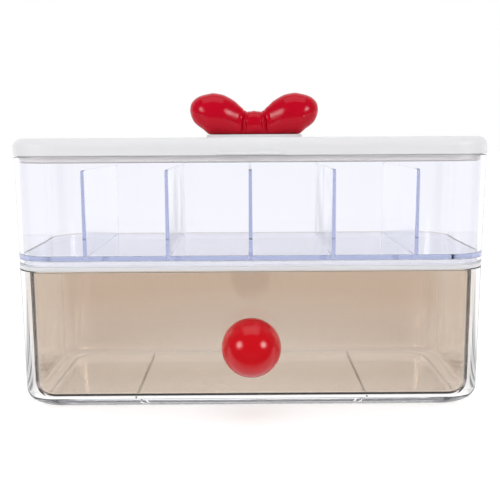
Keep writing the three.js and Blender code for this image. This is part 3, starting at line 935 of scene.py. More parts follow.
@dataclass
class Tray(SubAssembly):
    """The clear tray with its hinge ears, and the five dividers that stand in it."""

    wall: float = mm(2.2)
    skirt: float = mm(2.7)
    floor: float = mm(2.3)
    inside_height: float = mm(49.1)
    flare: float = mm(0.6)
    inner_foot: float = mm(0.35)
    rim: float = mm(0.5)
    skirt_edge: float = mm(0.3)
    skirt_gap: float = mm(0.3)
    divider_count: int = 5
    divider_thickness: float = mm(1.95)
    divider_top_thickness: float = mm(1.55)
    divider_corner: float = mm(1.5)
    divider_foot: float = mm(0.4)
    divider_lift: float = mm(0.08)
    tenon_length: float = mm(12)
    tenon_inset: float = mm(4)
    tenon_step: float = mm(0.1)
    slot_gap: float = mm(0.15)
    web_drop: float = mm(4)
    ear_drop: float = mm(0.3)

    def build(self) -> None:
        """Makes the tray and its dividers."""
        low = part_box("tray")[0].z
        self.outside = body_ring()
        self.floor_low = low + self.skirt
        self.floor_top = self.floor_low + self.floor
        self.rim_top = self.floor_top + self.inside_height
        inside = self.outside.grown(-self.wall)
        top = self.outside.grown(self.flare)
        shell = Moulding(inside.grown(-self.wall).at(self.floor_low)).through(
            (inside.at(self.floor_low), self.skirt_edge),
            (inside.at(low + self.skirt_gap), self.skirt_edge),
            (self.outside.at(low + self.skirt_gap), self.skirt_edge),
            (top.at(self.rim_top), self.rim),
            (top.grown(-self.wall).at(self.rim_top), self.rim),
            (inside.at(self.floor_top), self.inner_foot),
            (inside.grown(-2 * self.inner_foot).at(self.floor_top), 0),
        )
        nodes = [f"divider_{i + 1}" for i in range(self.divider_count)]
        middles = {node: middle_and_reach(node)[0][0] for node in nodes}
        slots = [self.slot_space(x, *span) for x in middles.values() for span in self.tenon_spans()]
        body = boolean(shell.done(), gathered(*slots), Boolean.CUT)
        for x in (-HINGE_SPACING / 2, HINGE_SPACING / 2):
            body = boolean(body, self.ear(x), Boolean.JOIN)
        self.place(body, "tray_shell", Finish.CLEAR, "tray")
        for node, x in middles.items():
            self.place(self.divider(node, x), node.replace("_", "_plate_"), Finish.CLEAR, node)

    def tenon_spans(self) -> list[tuple[float, float]]:
        """Finds where a divider's two tenons stand.

        Returns:
            The front and rear ends of each.
        """
        front = self.outside.front + self.wall + self.tenon_inset
        back = self.outside.back - self.wall - self.tenon_inset
        return [(front, front + self.tenon_length), (back - self.tenon_length, back)]

    def slot_space(self, x: float, front: float, back: float) -> BMesh:
        """The space of the slot for one tenon in the tray's floor."""
        reach = self.divider_thickness / 2 + self.slot_gap
        return block(
            (x - reach, front - self.slot_gap, self.floor_low - CUT_OVERRUN),
            (x + reach, back + self.slot_gap, self.floor_top + CUT_OVERRUN),
        )

    def ear(self, x: float) -> BMesh:
        """One hinge ear on the tray's back wall.

        Args:
            x: its middle.

        Returns:
            The ear, with the bore for its pin.
        """
        reach = EAR_WIDTH / 2
        top = self.rim_top - self.ear_drop
        web = block(
            (x - reach, self.outside.back - WELD, HINGE.z - KNUCKLE_RADIUS - self.web_drop),
            (x + reach, HINGE.y + KNUCKLE_RADIUS, top),
        )
        for vert in web.verts:
            if vert.co.y > self.outside.back:
                low = vert.co.z < HINGE.z - KNUCKLE_RADIUS
                vert.co.z = HINGE.z - KNUCKLE_RADIUS / 2 if low else top
        return hinge_part(web, x, reach)

    def divider(self, node: str, x: float) -> BMesh:
        """One drafted divider with its two tenons.

        Args:
            node: its CAD node.
            x: its middle.

        Returns:
            The divider's mesh.
        """
        low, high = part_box(node)
        reach = self.divider_thickness / 2
        plate = block((x - reach, low.y, self.floor_top + self.divider_lift), (x + reach, high.y, high.z))
        middle = (self.floor_top + high.z) / 2
        kinds = ((True, self.divider_corner, EDGE_STEPS), (False, self.divider_foot, 1))
        for upper, radius, steps in kinds:
            ends = edges_where(plate, lambda at, way: abs(way.x) > ALONG and (at.z > middle) == upper)
            bevel(plate, ends, radius, steps)
        for vert in plate.verts:
            share = (vert.co.z - self.floor_top) / (high.z - self.floor_top)
            narrowing = 1 + (self.divider_top_thickness / self.divider_thickness - 1) * share
            vert.co.x = x + (vert.co.x - x) * narrowing
        reach -= self.tenon_step
        for front, back in self.tenon_spans():
            tenon = block((x - reach, front, self.floor_low), (x + reach, back, self.floor_top + WELD))
            plate = boolean(plate, tenon, Boolean.JOIN)
        return plate


@dataclass
class Lid(SubAssembly):
    """The white lid with its finger lip, bow pad and knuckles, and the liner inside it."""

    wall: float = mm(2.6)
    top_thickness: float = mm(2.4)
    height: float = mm(8.7)
    crown_reach: float = mm(5)
    crown_drop: float = mm(4.4)
    inner_edge: float = mm(2.5)
    low_edge: float = mm(0.5)
    overhang: float = mm(0.5)
    hinge_rise: float = mm(0.7)
    knuckle_width: float = mm(7)
    ear_gap: float = mm(0.3)
    lip_width: float = mm(31.8)
    lip_reach: float = mm(1.8)
    lip_step: float = mm(0.5)
    lip_thickness: float = mm(0.6)
    lip_rise: float = mm(1.5)
    lip_edge: float = mm(0.25)
    pad_height: float = mm(1.56)
    pad_margin: float = mm(1.2)
    pad_depth: float = mm(13)
    pad_round: float = mm(6.4)
    pad_edge: float = mm(0.35)
    pad_share: float = 49.3 / 69.5
    liner_gap: float = mm(2.5)
    liner_plug: float = mm(3.8)
    liner_wall: float = mm(1.8)
    liner_edge: float = mm(0.3)
    boss: float = mm(3.5)
    boss_spacing: tuple[float, float] = (mm(160), mm(56))
    boss_gap: float = mm(0.3)
    body = Body.LID

    def build(self) -> None:
        """Makes the lid and its liner."""
        self.outside = body_ring().grown(self.overhang)
        self.low = HINGE.z - self.hinge_rise
        self.top = self.low + self.height
        self.ceiling = self.top - self.top_thickness
        inside = self.outside.grown(-self.wall)
        shell = Moulding(inside.grown(-2 * self.inner_edge).at(self.ceiling)).through(
            (inside.at(self.ceiling), self.inner_edge),
            (inside.at(self.low), self.low_edge),
            (self.outside.at(self.low), self.low_edge),
            (self.outside.at(self.top - self.crown_drop), 0),
        )
        crown = self.outside.at(self.top)
        shell.bend(crown, crown.grown(-self.crown_reach), 2 * EDGE_STEPS)
        shell.go(crown.grown(-2 * self.crown_reach))
        drilled = [boolean(part, self.screw_holes(), Boolean.CUT) for part in (shell.done(), self.pad())]
        parts = [*drilled, self.lip(), *self.bosses(), *self.knuckles()]
        self.place(gathered(*parts), "lid_cover", Finish.WHITE, "lid_shell")
        # The liner's darker, warmer white is painted shade
        self.place(self.liner(), "lid_inner_panel", Finish.SHADED_WHITE, "lid_liner")

    def lip(self) -> BMesh:
        """The finger lip in front, with its sloped upper face.

        Returns:
            The lip's mesh.
        """
        low = self.low + self.lip_step
        middle = self.outside.front
        lip = block(
            (-self.lip_width / 2, middle - self.lip_reach, low),
            (self.lip_width / 2, middle + self.lip_reach, low + self.lip_thickness + self.lip_rise),
        )
        for vert in lip.verts:
            if vert.co.y < middle and vert.co.z > low + self.lip_thickness:
                vert.co.z = low + self.lip_thickness
        bevel(lip, lip.edges, self.lip_edge, SMALL_STEPS)
        return lip

    def pad(self) -> BMesh:
        """The raised pad that the bow stands on.

        Returns:
            The pad's mesh.
        """
        (middle, *_), (bow_reach, *_) = middle_and_reach("bow_upper_shell")
        reach = bow_reach * self.pad_share + self.pad_margin
        depth = self.pad_depth / 2 + self.pad_margin
        ring = Ring(middle - reach, middle + reach, -depth, depth, self.pad_round, self.pad_round)
        top = ring.at(self.top + self.pad_height)
        pad = Moulding(ring.at(self.top - WELD))
        return pad.through((top, self.pad_edge), (top.grown(-self.pad_margin), 0)).done()

    def screw_holes(self) -> BMesh:
        """The space of the two holes for the bow's screws.

        Returns:
            Two bars through the lid's top and the pad.
        """
        ends = (self.ceiling - CUT_OVERRUN, self.top + self.pad_height + CUT_OVERRUN)
        middles = [middle_and_reach(f"bow_screw_{side}")[0] for side in ("left", "right")]
        return gathered(*(rod(SCREW_HOLE, *ends, Axis.Z, (x, y, 0.0)) for x, y, _ in middles))

    def bosses(self) -> list[BMesh]:
        """The four bosses that reach from the lid's ceiling down to the liner.

        Returns:
            Their meshes.
        """
        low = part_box("lid_liner")[1].z + self.boss_gap
        x, y = (spacing / 2 for spacing in self.boss_spacing)
        places = [(side * x, end * y, 0.0) for side in (-1, 1) for end in (-1, 1)]
        return [rod(self.boss, low, self.ceiling + WELD, Axis.Z, place) for place in places]

    def knuckles(self) -> list[BMesh]:
        """The four hinge knuckles on the lid's rear skirt, two beside each ear of the tray.

        Returns:
            Their meshes.
        """
        parts = []
        reach = self.knuckle_width / 2
        for ear in (-HINGE_SPACING / 2, HINGE_SPACING / 2):
            for end in (-1, 1):
                x = ear + end * (EAR_WIDTH / 2 + self.ear_gap + reach)
                web = block(
                    (x - reach, self.outside.back - self.wall / 2, HINGE.z),
                    (x + reach, HINGE.y, HINGE.z + KNUCKLE_RADIUS),
                )
                parts.append(hinge_part(web, x, reach))
        return parts

    def liner(self) -> BMesh:
        """The inner panel, whose rim drops into the tray.

        Returns:
            The panel's mesh.
        """
        low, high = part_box("lid_liner")
        plan = body_ring().grown(-self.liner_gap)
        plate = low.z + self.liner_plug
        rim = plan.grown(-self.liner_wall)
        panel = Moulding(rim.grown(-2 * self.liner_wall).at(plate)).through(
            (rim.at(plate), self.liner_wall / 2), (rim.at(low.z), 0)
        )
        panel.bend(plan.at(low.z), plan.at(low.z + self.liner_wall / 2))
        panel.through((plan.at(high.z), self.liner_edge), (plan.grown(-self.liner_wall).at(high.z), 0))
        return panel.done()


@dataclass
class Bow(SubAssembly):
    """The red bow handle, moulded as a lower and an upper shell that meet at a fine seam.

    Shares count along the bow's reach, from the knot to the tip, and along its height, from its foot.

    Attributes:
        outline: shares of the reach, with the shares of the height of the upper and the lower edge there.
        seam: points of the parting seam from beyond the tip to the knot, as shares of reach and height.
        folds: for each crease beside the knot, its place at middle height, its width and its depth.
        fold_spread: how much nearer to the knot the creases come toward the top.
        fold_drop: how far they draw the top down, as a share of their depth.
        flat_span: the shares of the reach between which the flat foot runs out into the round lobe.
        roundness: the power that swells the round section, where 1 is an ellipse.
        squareness: the powers that square the section of the foot, outward and down.
        lobe_at: the share of the reach where the lobe is deepest.
        lobe_rise: the share of the reach over which it grows.
        waist_drop: how far the waist draws in behind the knot's depth, on each side.
        waist_span: the shares of the reach between which the knot goes over to the waist.
    """

    base_depth: float = mm(13)
    knot_depth: float = mm(14)
    lobe_depth: float = mm(20)
    around: int = 72
    along: int = 220
    seam_gap: float = mm(0.02)
    seam_edge: float = mm(0.12)
    waist_blend: float = mm(3)
    waist_drop: float = mm(1.2)
    waist_span: tuple[float, float] = (0.1, 0.2)
    lobe_at: float = 0.64
    lobe_rise: float = 0.43
    flat_span: tuple[float, float] = (0.45, 0.95)
    roundness: float = 0.94
    squareness: tuple[float, float] = (0.6, 0.8)
    fold_spread: float = 0.12
    fold_drop: float = 0.4
    folds: tuple[tuple[float, float, float], ...] = (
        (mm(4.3), mm(0.55), mm(0.9)),
        (mm(6.1), mm(0.5), mm(1.1)),
    )
    outline: tuple[tuple[float, float, float], ...] = (
        (0, 0.573, 0),
        (0.06, 0.558, 0),
        (0.106, 0.562, 0),
        (0.131, 0.576, 0),
        (0.178, 0.634, 0),
        (0.225, 0.696, 0),
        (0.3, 0.804, 0),
        (0.45, 0.94, 0),
        (0.56, 0.986, 0),
        (0.64, 1, 0),
        (0.71, 0.982, 0.012),
        (0.75, 0.969, 0.055),
        (0.8, 0.95, 0.124),
        (0.88, 0.9, 0.214),
        (0.94, 0.828, 0.304),
        (0.98, 0.742, 0.43),
        (1, 0.585, 0.585),
    )
    seam: tuple[tuple[float, float], ...] = (
        (1.2, 0.457),
        (0.5, 0.457),
        (0.42, 0.43),
        (0.356, 0.381),
        (0.2, 0.25),
    )
    body = Body.LID

    def build(self) -> None:
        """Makes the two shells of the bow."""
        self.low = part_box("bow_lower_shell")[0].z
        self.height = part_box("bow_upper_shell")[1].z - self.low
        (self.middle, *_), (self.reach, *_) = middle_and_reach("bow_upper_shell")
        for above, half in ((False, "bow_lower"), (True, "bow_upper")):
            shell = boolean(self.form(), self.side(above), Boolean.KEEP)
            self.place(shell, f"{half}_half", Finish.CRIMSON, f"{half}_shell", self.seam_edge)

    def form(self) -> BMesh:
        """The whole bow: a ball drawn out to its outline.

        Returns:
            The closed mesh.
        """
        bm = ball(1, self.around, self.along, "Y")
        for vert in bm.verts:
            share = min(abs(vert.co.x), 1.0)
            turn = math.atan2(vert.co.z, vert.co.y)
            vert.co = self.point(math.copysign(1, vert.co.x), share, turn)
        bmesh.ops.recalc_face_normals(bm, faces=bm.faces)
        return bm

    def point(self, side: float, share: float, turn: float) -> Vector:
        """A point of the bow's skin.

        Args:
            side: -1 to the left of the knot, 1 to the right of it.
            share: its share of the reach.
            turn: the turn round the bow, from its back over its top.

        Returns:
            The point.
        """
        top = smooth_through([(x, high) for x, high, _ in self.outline], share)
        bottom = smooth_through([(x, low) for x, _, low in self.outline], share)
        up, out = math.sin(turn), math.cos(turn)
        depth = self.depth(share)
        round_out, round_up = math.copysign(abs(out) ** self.roundness, out), up
        if up < 0:
            flat = 1 - ease(share, *self.flat_span)
            narrow = min(1.0, self.base_depth / 2 / max(depth, SMALLEST_RADIUS))
            power_out, power_up = self.squareness
            square_out = math.copysign(abs(out) ** power_out, out) * (1 + (narrow - 1) * up * up)
            round_out += (square_out - round_out) * flat
            round_up += (-(abs(up) ** power_up) - round_up) * flat
        middle, half = (top + bottom) / 2, (top - bottom) / 2
        fold = self.fold(share, round_up)
        length = math.hypot(round_out, round_up)
        y = depth * round_out - fold * round_out / length
        z = self.low + self.height * (middle + half * round_up)
        z -= fold * max(round_up, 0) / length * self.fold_drop
        return Vector((self.middle + side * share * self.reach, y, z))

    def depth(self, share: float) -> float:
        """Half the bow's depth at a place: knot, waist and round lobe.

        Args:
            share: the place's share of the reach.

        Returns:
            The half depth there.
        """
        outer = share > self.lobe_at
        turn = (share - self.lobe_at) / (1 - self.lobe_at if outer else self.lobe_rise)
        lobe = self.lobe_depth / 2 * math.sqrt(max(1 - turn * turn, 0))
        if outer:
            return lobe
        waist = self.knot_depth / 2 - self.waist_drop * ease(share, *self.waist_span)
        near = max(1 - abs(lobe - waist) / self.waist_blend, 0)
        return max(lobe, waist) + near * near * self.waist_blend / 4

    def fold(self, share: float, up: float) -> float:
        """How far the creases beside the knot draw the skin in at a place."""
        x, spread = share * self.reach, 1 - self.fold_spread * up
        return sum(deep * math.exp(-(((x - at * spread) / wide) ** 2)) for at, wide, deep in self.folds)

    def side(self, above: bool) -> BMesh:
        """All the space above or below the seam.

        Args:
            above: True for the space above it.

        Returns:
            A closed prism that runs through the bow from front to back.
        """
        shift = self.seam_gap / 2 if above else -self.seam_gap / 2
        right = [(x * self.reach, self.low + z * self.height + shift) for x, z in self.seam]
        line = right + [(-x, z) for x, z in reversed(right)]
        bm = bmesh.new()
        front = [bm.verts.new((self.middle + x, -self.lobe_depth, z)) for x, z in line]
        edges = [bm.edges.new(pair) for pair in zip(front, front[1:])]
        made = bmesh.ops.extrude_edge_only(bm, edges=edges)["geom"]
        for vert in [item for item in made if isinstance(item, BMVert)]:
            vert.co.z = self.low + self.height + CUT_OVERRUN if above else self.low - CUT_OVERRUN
        made = bmesh.ops.extrude_face_region(bm, geom=list(bm.faces), use_keep_orig=True)["geom"]
        moved = [item for item in made if isinstance(item, BMVert)]
        bmesh.ops.translate(bm, verts=moved, vec=(0, 2 * self.lobe_depth, 0))
        bmesh.ops.recalc_face_normals(bm, faces=bm.faces)
        return bm


def ball(radius: float, around: int, along: int, turn: str) -> BMesh:
    """A ball.

    Args:
        radius: its radius.
        around: the steps round its poles.
        along: the steps from pole to pole.
        turn: the axis that it is turned about by a quarter from upright.

    Returns:
        The closed mesh.
    """
    bm = bmesh.new()
    bmesh.ops.create_uvsphere(bm, u_segments=around, v_segments=along, radius=radius)
    bmesh.ops.rotate(bm, verts=bm.verts, matrix=Matrix.Rotation(math.radians(90), 3, turn))
    return bm


def smooth_through(points: Sequence[tuple[float, float]], at: float) -> float:
    """Reads a smooth line through points, whose places are taken as sines.

    Args:
        points: pairs of a place from 0 to 1 and a value, in order.
        at: the place that is read.

    Returns:
        The value there.
    """
    knots = [(math.asin(place), value) for place, value in points]
    x = math.asin(at)
    index = next((i for i in range(len(knots) - 2) if x < knots[i + 1][0]), len(knots) - 2)

    def slope(i: int) -> float:
        """The line's slope at a knot, level at a peak, on a flat and at both ends.

        Args:
            i: the knot's number.

        Returns:
            The slope.
        """
        if i == 0 or i == len(knots) - 1:
            return 0.0
        before, here, after = knots[i - 1 : i + 2]
        if (here[1] - before[1]) * (after[1] - here[1]) <= 0:
            return 0.0
        return (after[1] - before[1]) / (after[0] - before[0])

    (x0, y0), (x1, y1) = knots[index], knots[index + 1]
    width = x1 - x0
    t = (x - x0) / width
    rise, fall = slope(index) * width, slope(index + 1) * width
    starts = (2 * t**3 - 3 * t**2 + 1) * y0 + (t**3 - 2 * t**2 + t) * rise
    return starts + (3 * t**2 - 2 * t**3) * y1 + (t**3 - t**2) * fall


def ease(value: float, low: float, high: float) -> float:
    """A smooth step from 0 at the low value to 1 at the high one."""
    t = min(max((value - low) / (high - low), 0.0), 1.0)
    return t * t * (3 - 2 * t)


@dataclass
class Drawer(SubAssembly):
    """The smoky drawer and its red ball knob."""

    wall: float = mm(1.2)
    front_wall: float = mm(2.2)
    rear_wall: float = mm(2)
    side_gap: float = mm(0.5)
    floor: float = mm(1.2)
    edge: float = mm(0.25)
    rim_drop: float = mm(2.5)
    front_radius: float = mm(6)
    rear_radius: float = mm(18)
    foot_height: float = mm(6.5)
    side_foot: float = mm(6.5)
    front_foot: float = mm(1.5)
    rear_foot: float = mm(4)
    front_fillet: float = mm(0.8)
    witness_width: float = mm(0.25)
    witness_depth: float = mm(0.15)
    full_height: float = mm(60)
    lug_height: float = mm(4.5)
    lug_thickness: float = mm(4)
    lug_root: float = mm(9)
    knob_seat: float = mm(0.3)
    knob_bore: float = mm(10)
    knob_edge: float = mm(0.5)
    body = Body.DRAWER

    def build(self) -> None:
        """Makes the drawer and its knob."""
        low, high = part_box("drawer_box")
        knob_low, knob_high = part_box("drawer_knob")
        radius = knob_high.x
        self.knob_middle = Vector((0, knob_low.y + radius, (knob_low.z + knob_high.z) / 2))
        side = Housing.window_reach - self.side_gap
        plan = Ring(-side, side, low.y, high.y, self.front_radius, self.rear_radius, low.z)
        rim = high.z - self.rim_drop
        lowered = block(
            (plan.left - CUT_OVERRUN, plan.front + self.front_wall + self.full_height, rim),
            (plan.right + CUT_OVERRUN, plan.back + CUT_OVERRUN, high.z + CUT_OVERRUN),
        )
        hole_middle = (0, plan.front + self.front_wall / 2, self.knob_middle.z)
        hole = rod(SCREW_HOLE, -self.front_wall, self.front_wall, Axis.Y, hole_middle)
        body = boolean(boolean(self.shell(plan, high.z), lowered, Boolean.CUT), hole, Boolean.CUT)
        for sign in (-1, 1):
            left, right = sorted((sign * (plan.right - self.lug_root), sign * high.x))
            foot = (left, plan.back - self.lug_thickness, rim - self.lug_height)
            lug = block(foot, (right, plan.back, rim))
            body = boolean(body, lug, Boolean.JOIN)
        self.place(body, "drawer_shell", Finish.SMOKY, "drawer_box", self.edge)
        self.place(self.knob(radius, plan.front), "ball_knob", Finish.SCARLET, "drawer_knob")

    def shell(self, plan: Ring, top: float) -> BMesh:
        """The open box with its rounded foot, and a witness step round its floor.

        Args:
            plan: its plan, at the level of its underside.
            top: the level of its rim.

        Returns:
            The shell's mesh.
        """
        inside = plan.grown(-self.wall, -self.front_wall, -self.rear_wall)
        foot = plan.grown(-self.side_foot, -self.front_foot, -self.rear_foot)
        fillet = (self.wall - self.side_foot, -self.front_fillet, self.rear_wall - self.rear_foot)
        floor = plan.z + self.floor
        inner_foot = inside.grown(*fillet).at(floor)
        bend_top = plan.z + self.foot_height
        shell = Moulding(foot.grown(-self.wall)).through((foot, 0))
        shell.bend(plan, plan.at(bend_top), 2 * EDGE_STEPS)
        shell.through((plan.at(top), 0), (inside.at(top), 0), (inside.at(bend_top), 0))
        shell.bend(inside.at(floor), inner_foot)
        witness = inner_foot.at(floor - self.witness_depth)
        return shell.go(witness.grown(-self.witness_width)).go(witness.grown(-self.wall)).done()

    def knob(self, radius: float, drawer_front: float) -> BMesh:
        """The ball knob, flat where it seats and bored for its screw.

        Args:
            radius: the ball's radius.
            drawer_front: the face that the knob seats on.

        Returns:
            The knob's mesh.
        """
        seat = drawer_front - self.knob_seat - self.knob_middle.y
        bm = ball(radius, 2 * ROUND_STEPS, ROUND_STEPS, "X")
        whole = [*bm.verts, *bm.edges, *bm.faces]
        plane = {"plane_co": (0, seat, 0), "plane_no": (0, 1, 0), "clear_outer": True}
        cut = bmesh.ops.bisect_plane(bm, geom=whole, dist=MERGE_DISTANCE, **plane)["geom_cut"]
        rim = [item for item in cut if isinstance(item, BMEdge)]
        bmesh.ops.contextual_create(bm, geom=rim)
        bevel(bm, rim, self.knob_edge, SMALL_STEPS)
        cap = max(bm.faces, key=lambda face: face.calc_center_median().y)
        bore = math.sqrt(radius**2 - seat**2) - SCREW_HOLE
        bmesh.ops.inset_region(bm, faces=[cap], thickness=bore, use_even_offset=True)
        bottom = pulled(bm, cap)
        bmesh.ops.translate(bm, verts=bottom.verts, vec=(0, -self.knob_bore, 0))
        bmesh.ops.recalc_face_normals(bm, faces=bm.faces)
        if bm.calc_volume(signed=True) < 0:
            bmesh.ops.reverse_faces(bm, faces=bm.faces)
        bmesh.ops.translate(bm, verts=bm.verts, vec=self.knob_middle)
        return bm


@dataclass
class Fasteners(SubAssembly):
    """The hinge pins and the three pan head screws."""

    pin_edge: float = mm(0.25)
    shank: float = mm(1.4)
    root: float = mm(1.15)
    head: float = mm(2.9)
    head_flat: float = 0.7
    head_height: float = mm(1.9)
    pitch: float = mm(0.9)
    tip: float = mm(0.8)
    recess_reach: float = mm(1.5)
    recess_width: float = mm(0.7)
    recess_depth: float = mm(1.1)

    def build(self) -> None:
        """Makes the pins and the screws, each on its own body."""
        for side in ("left", "right"):
            self.pin(f"hinge_pin_{side}")
        self.body = Body.LID
        for side in ("left", "right"):
            self.screw(f"bow_screw_{side}", to_front=False)
        self.body = Body.DRAWER
        self.screw("knob_screw", to_front=True)

    def pin(self, node: str) -> None:
        """Makes a hinge pin in the place of its CAD node.

        Args:
            node: the CAD node.
        """
        middle, reach = middle_and_reach(node)
        bar = rod(reach[2], -reach[0], reach[0], Axis.X, middle, self.pin_edge)
        self.place(bar, f"{node}_wire", Finish.STEEL, node)

    def screw(self, node: str, to_front: bool) -> None:
        """Makes a screw with its thread rings and cross recess in the place of its CAD node.

        Args:
            node: the CAD node.
            to_front: True for a screw that points to the front, False for one that points up.
        """
        low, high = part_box(node)
        along = 1 if to_front else 2
        length = high[along] - low[along] - self.head_height
        profile = [(0.0, -self.head_height), (self.head * self.head_flat, -self.head_height)]
        profile += [(self.head, -self.head_height / 2), (self.head, 0.0), (self.shank, 0.0)]
        for turn in range(int((length - self.tip - self.pitch) / self.pitch)):
            start = self.pitch * (turn + 1)
            profile += [(self.root, start), (self.shank, start + self.pitch / 2)]
        profile += [(self.root, length - self.tip), (self.shank / 2, length), (0.0, length)]
        body = turned(profile, Axis.Z, (0, 0, 0))
        bottom = self.recess_depth - self.head_height
        arms = (self.recess_reach, self.recess_width / 2)
        for x, y in (arms, reversed(arms)):
            slot = block((-x, -y, -self.head_height - CUT_OVERRUN), (x, y, bottom))
            body = boolean(body, slot, Boolean.CUT)
        seat = middle_and_reach(node)[0]
        seat[along] = high.y - self.head_height if to_front else low.z + self.head_height
        turn = Matrix.Rotation(math.radians(90 if to_front else 0), 4, "X")
        bmesh.ops.transform(body, matrix=Matrix.Translation(seat) @ turn, verts=body.verts)
        self.place(body, f"{node}_body", Finish.STEEL, node)


# Studio


@dataclass(frozen=True)
class Softbox:
    """A lamp with a square of cloth in front.

    Attributes:
        name: the lamp's name.
        place: where it stands.
        size: its width and height.
        radiance: how bright its cloth is, where 1 is white.
        round_glow: whether the cloth is brightest in its middle and fades to its rim.
        aim: the point that it faces.
        middle: the middle of the cloth, as shares of its width and height.
        fade: how the brightness falls with the distance from the middle.
    """

    name: str
    place: tuple[float, float, float]
    size: tuple[float, float]
    radiance: float
    round_glow: bool = False
    aim: tuple[float, float, float] = (0.0, 0.0, 0.08)
    middle: tuple[float, float, float] = (0.5, 0.5, 0.0)
    fade: Turn = Turn((0.0, 0.5), (1.0, 0.0))

    def set_up(self) -> None:
        """Makes the lamp."""
        data = bpy.data.lights.new(self.name, "AREA")
        data.shape = "RECTANGLE"
        data.size, data.size_y = self.size
        data.energy = self.radiance * math.pi * self.size[0] * self.size[1]
        way = Vector(self.aim) - Vector(self.place)
        turn = way.to_track_quat("-Z", "Y").to_matrix().to_4x4()
        linked(self.name, data).matrix_world = Matrix.Translation(self.place) @ turn
        if self.round_glow:
            dress(data, "OutputLight", self.cloth)

    def cloth(self, tree: NodeTree) -> dict[str, Node]:
        """Adds the nodes of a cloth that fades to its rim.

        Args:
            tree: the lamp's node tree.

        Returns:
            Its surface.
        """
        spot = add_node(tree, "NewGeometry").outputs["Parametric"]
        away = add_node(tree, "VectorMath", {0: spot, 1: self.middle}, operation="DISTANCE")
        level = self.fade.add(tree, away.outputs["Value"])
        return {"Surface": add_node(tree, "Emission", {"Strength": level})}


@dataclass(frozen=True)
class Camera:
    """The camera at the photograph's viewing angle.

    Attributes:
        place: where it stands.
        down: how far it looks down, in degrees.
        right: how far it looks to the right, in degrees.
        roll: how far it leans, in degrees.
        lens: its focal length in millimetres.
        sensor: the width of its sensor in millimetres.
        nearest: the nearest distance that it sees.
    """

    place: tuple[float, float, float] = (-0.0011, -0.414, 0.1344)
    down: float = 8.46
    right: float = 0.115
    roll: float = 0.34
    lens: float = 54.0
    sensor: float = 36.0
    nearest: float = mm(10)

    def set_up(self) -> None:
        """Makes the camera and takes it for the scene."""
        data = bpy.data.cameras.new("camera")
        data.lens, data.sensor_width, data.clip_start = self.lens, self.sensor, self.nearest
        turn = (
            Matrix.Rotation(math.radians(-self.right), 4, "Z")
            @ Matrix.Rotation(math.radians(90 - self.down), 4, "X")
            @ Matrix.Rotation(math.radians(-self.roll), 4, "Z")
        )
        camera = linked("camera", data)
        camera.matrix_world = Matrix.Translation(self.place) @ turn
        bpy.context.scene.camera = camera


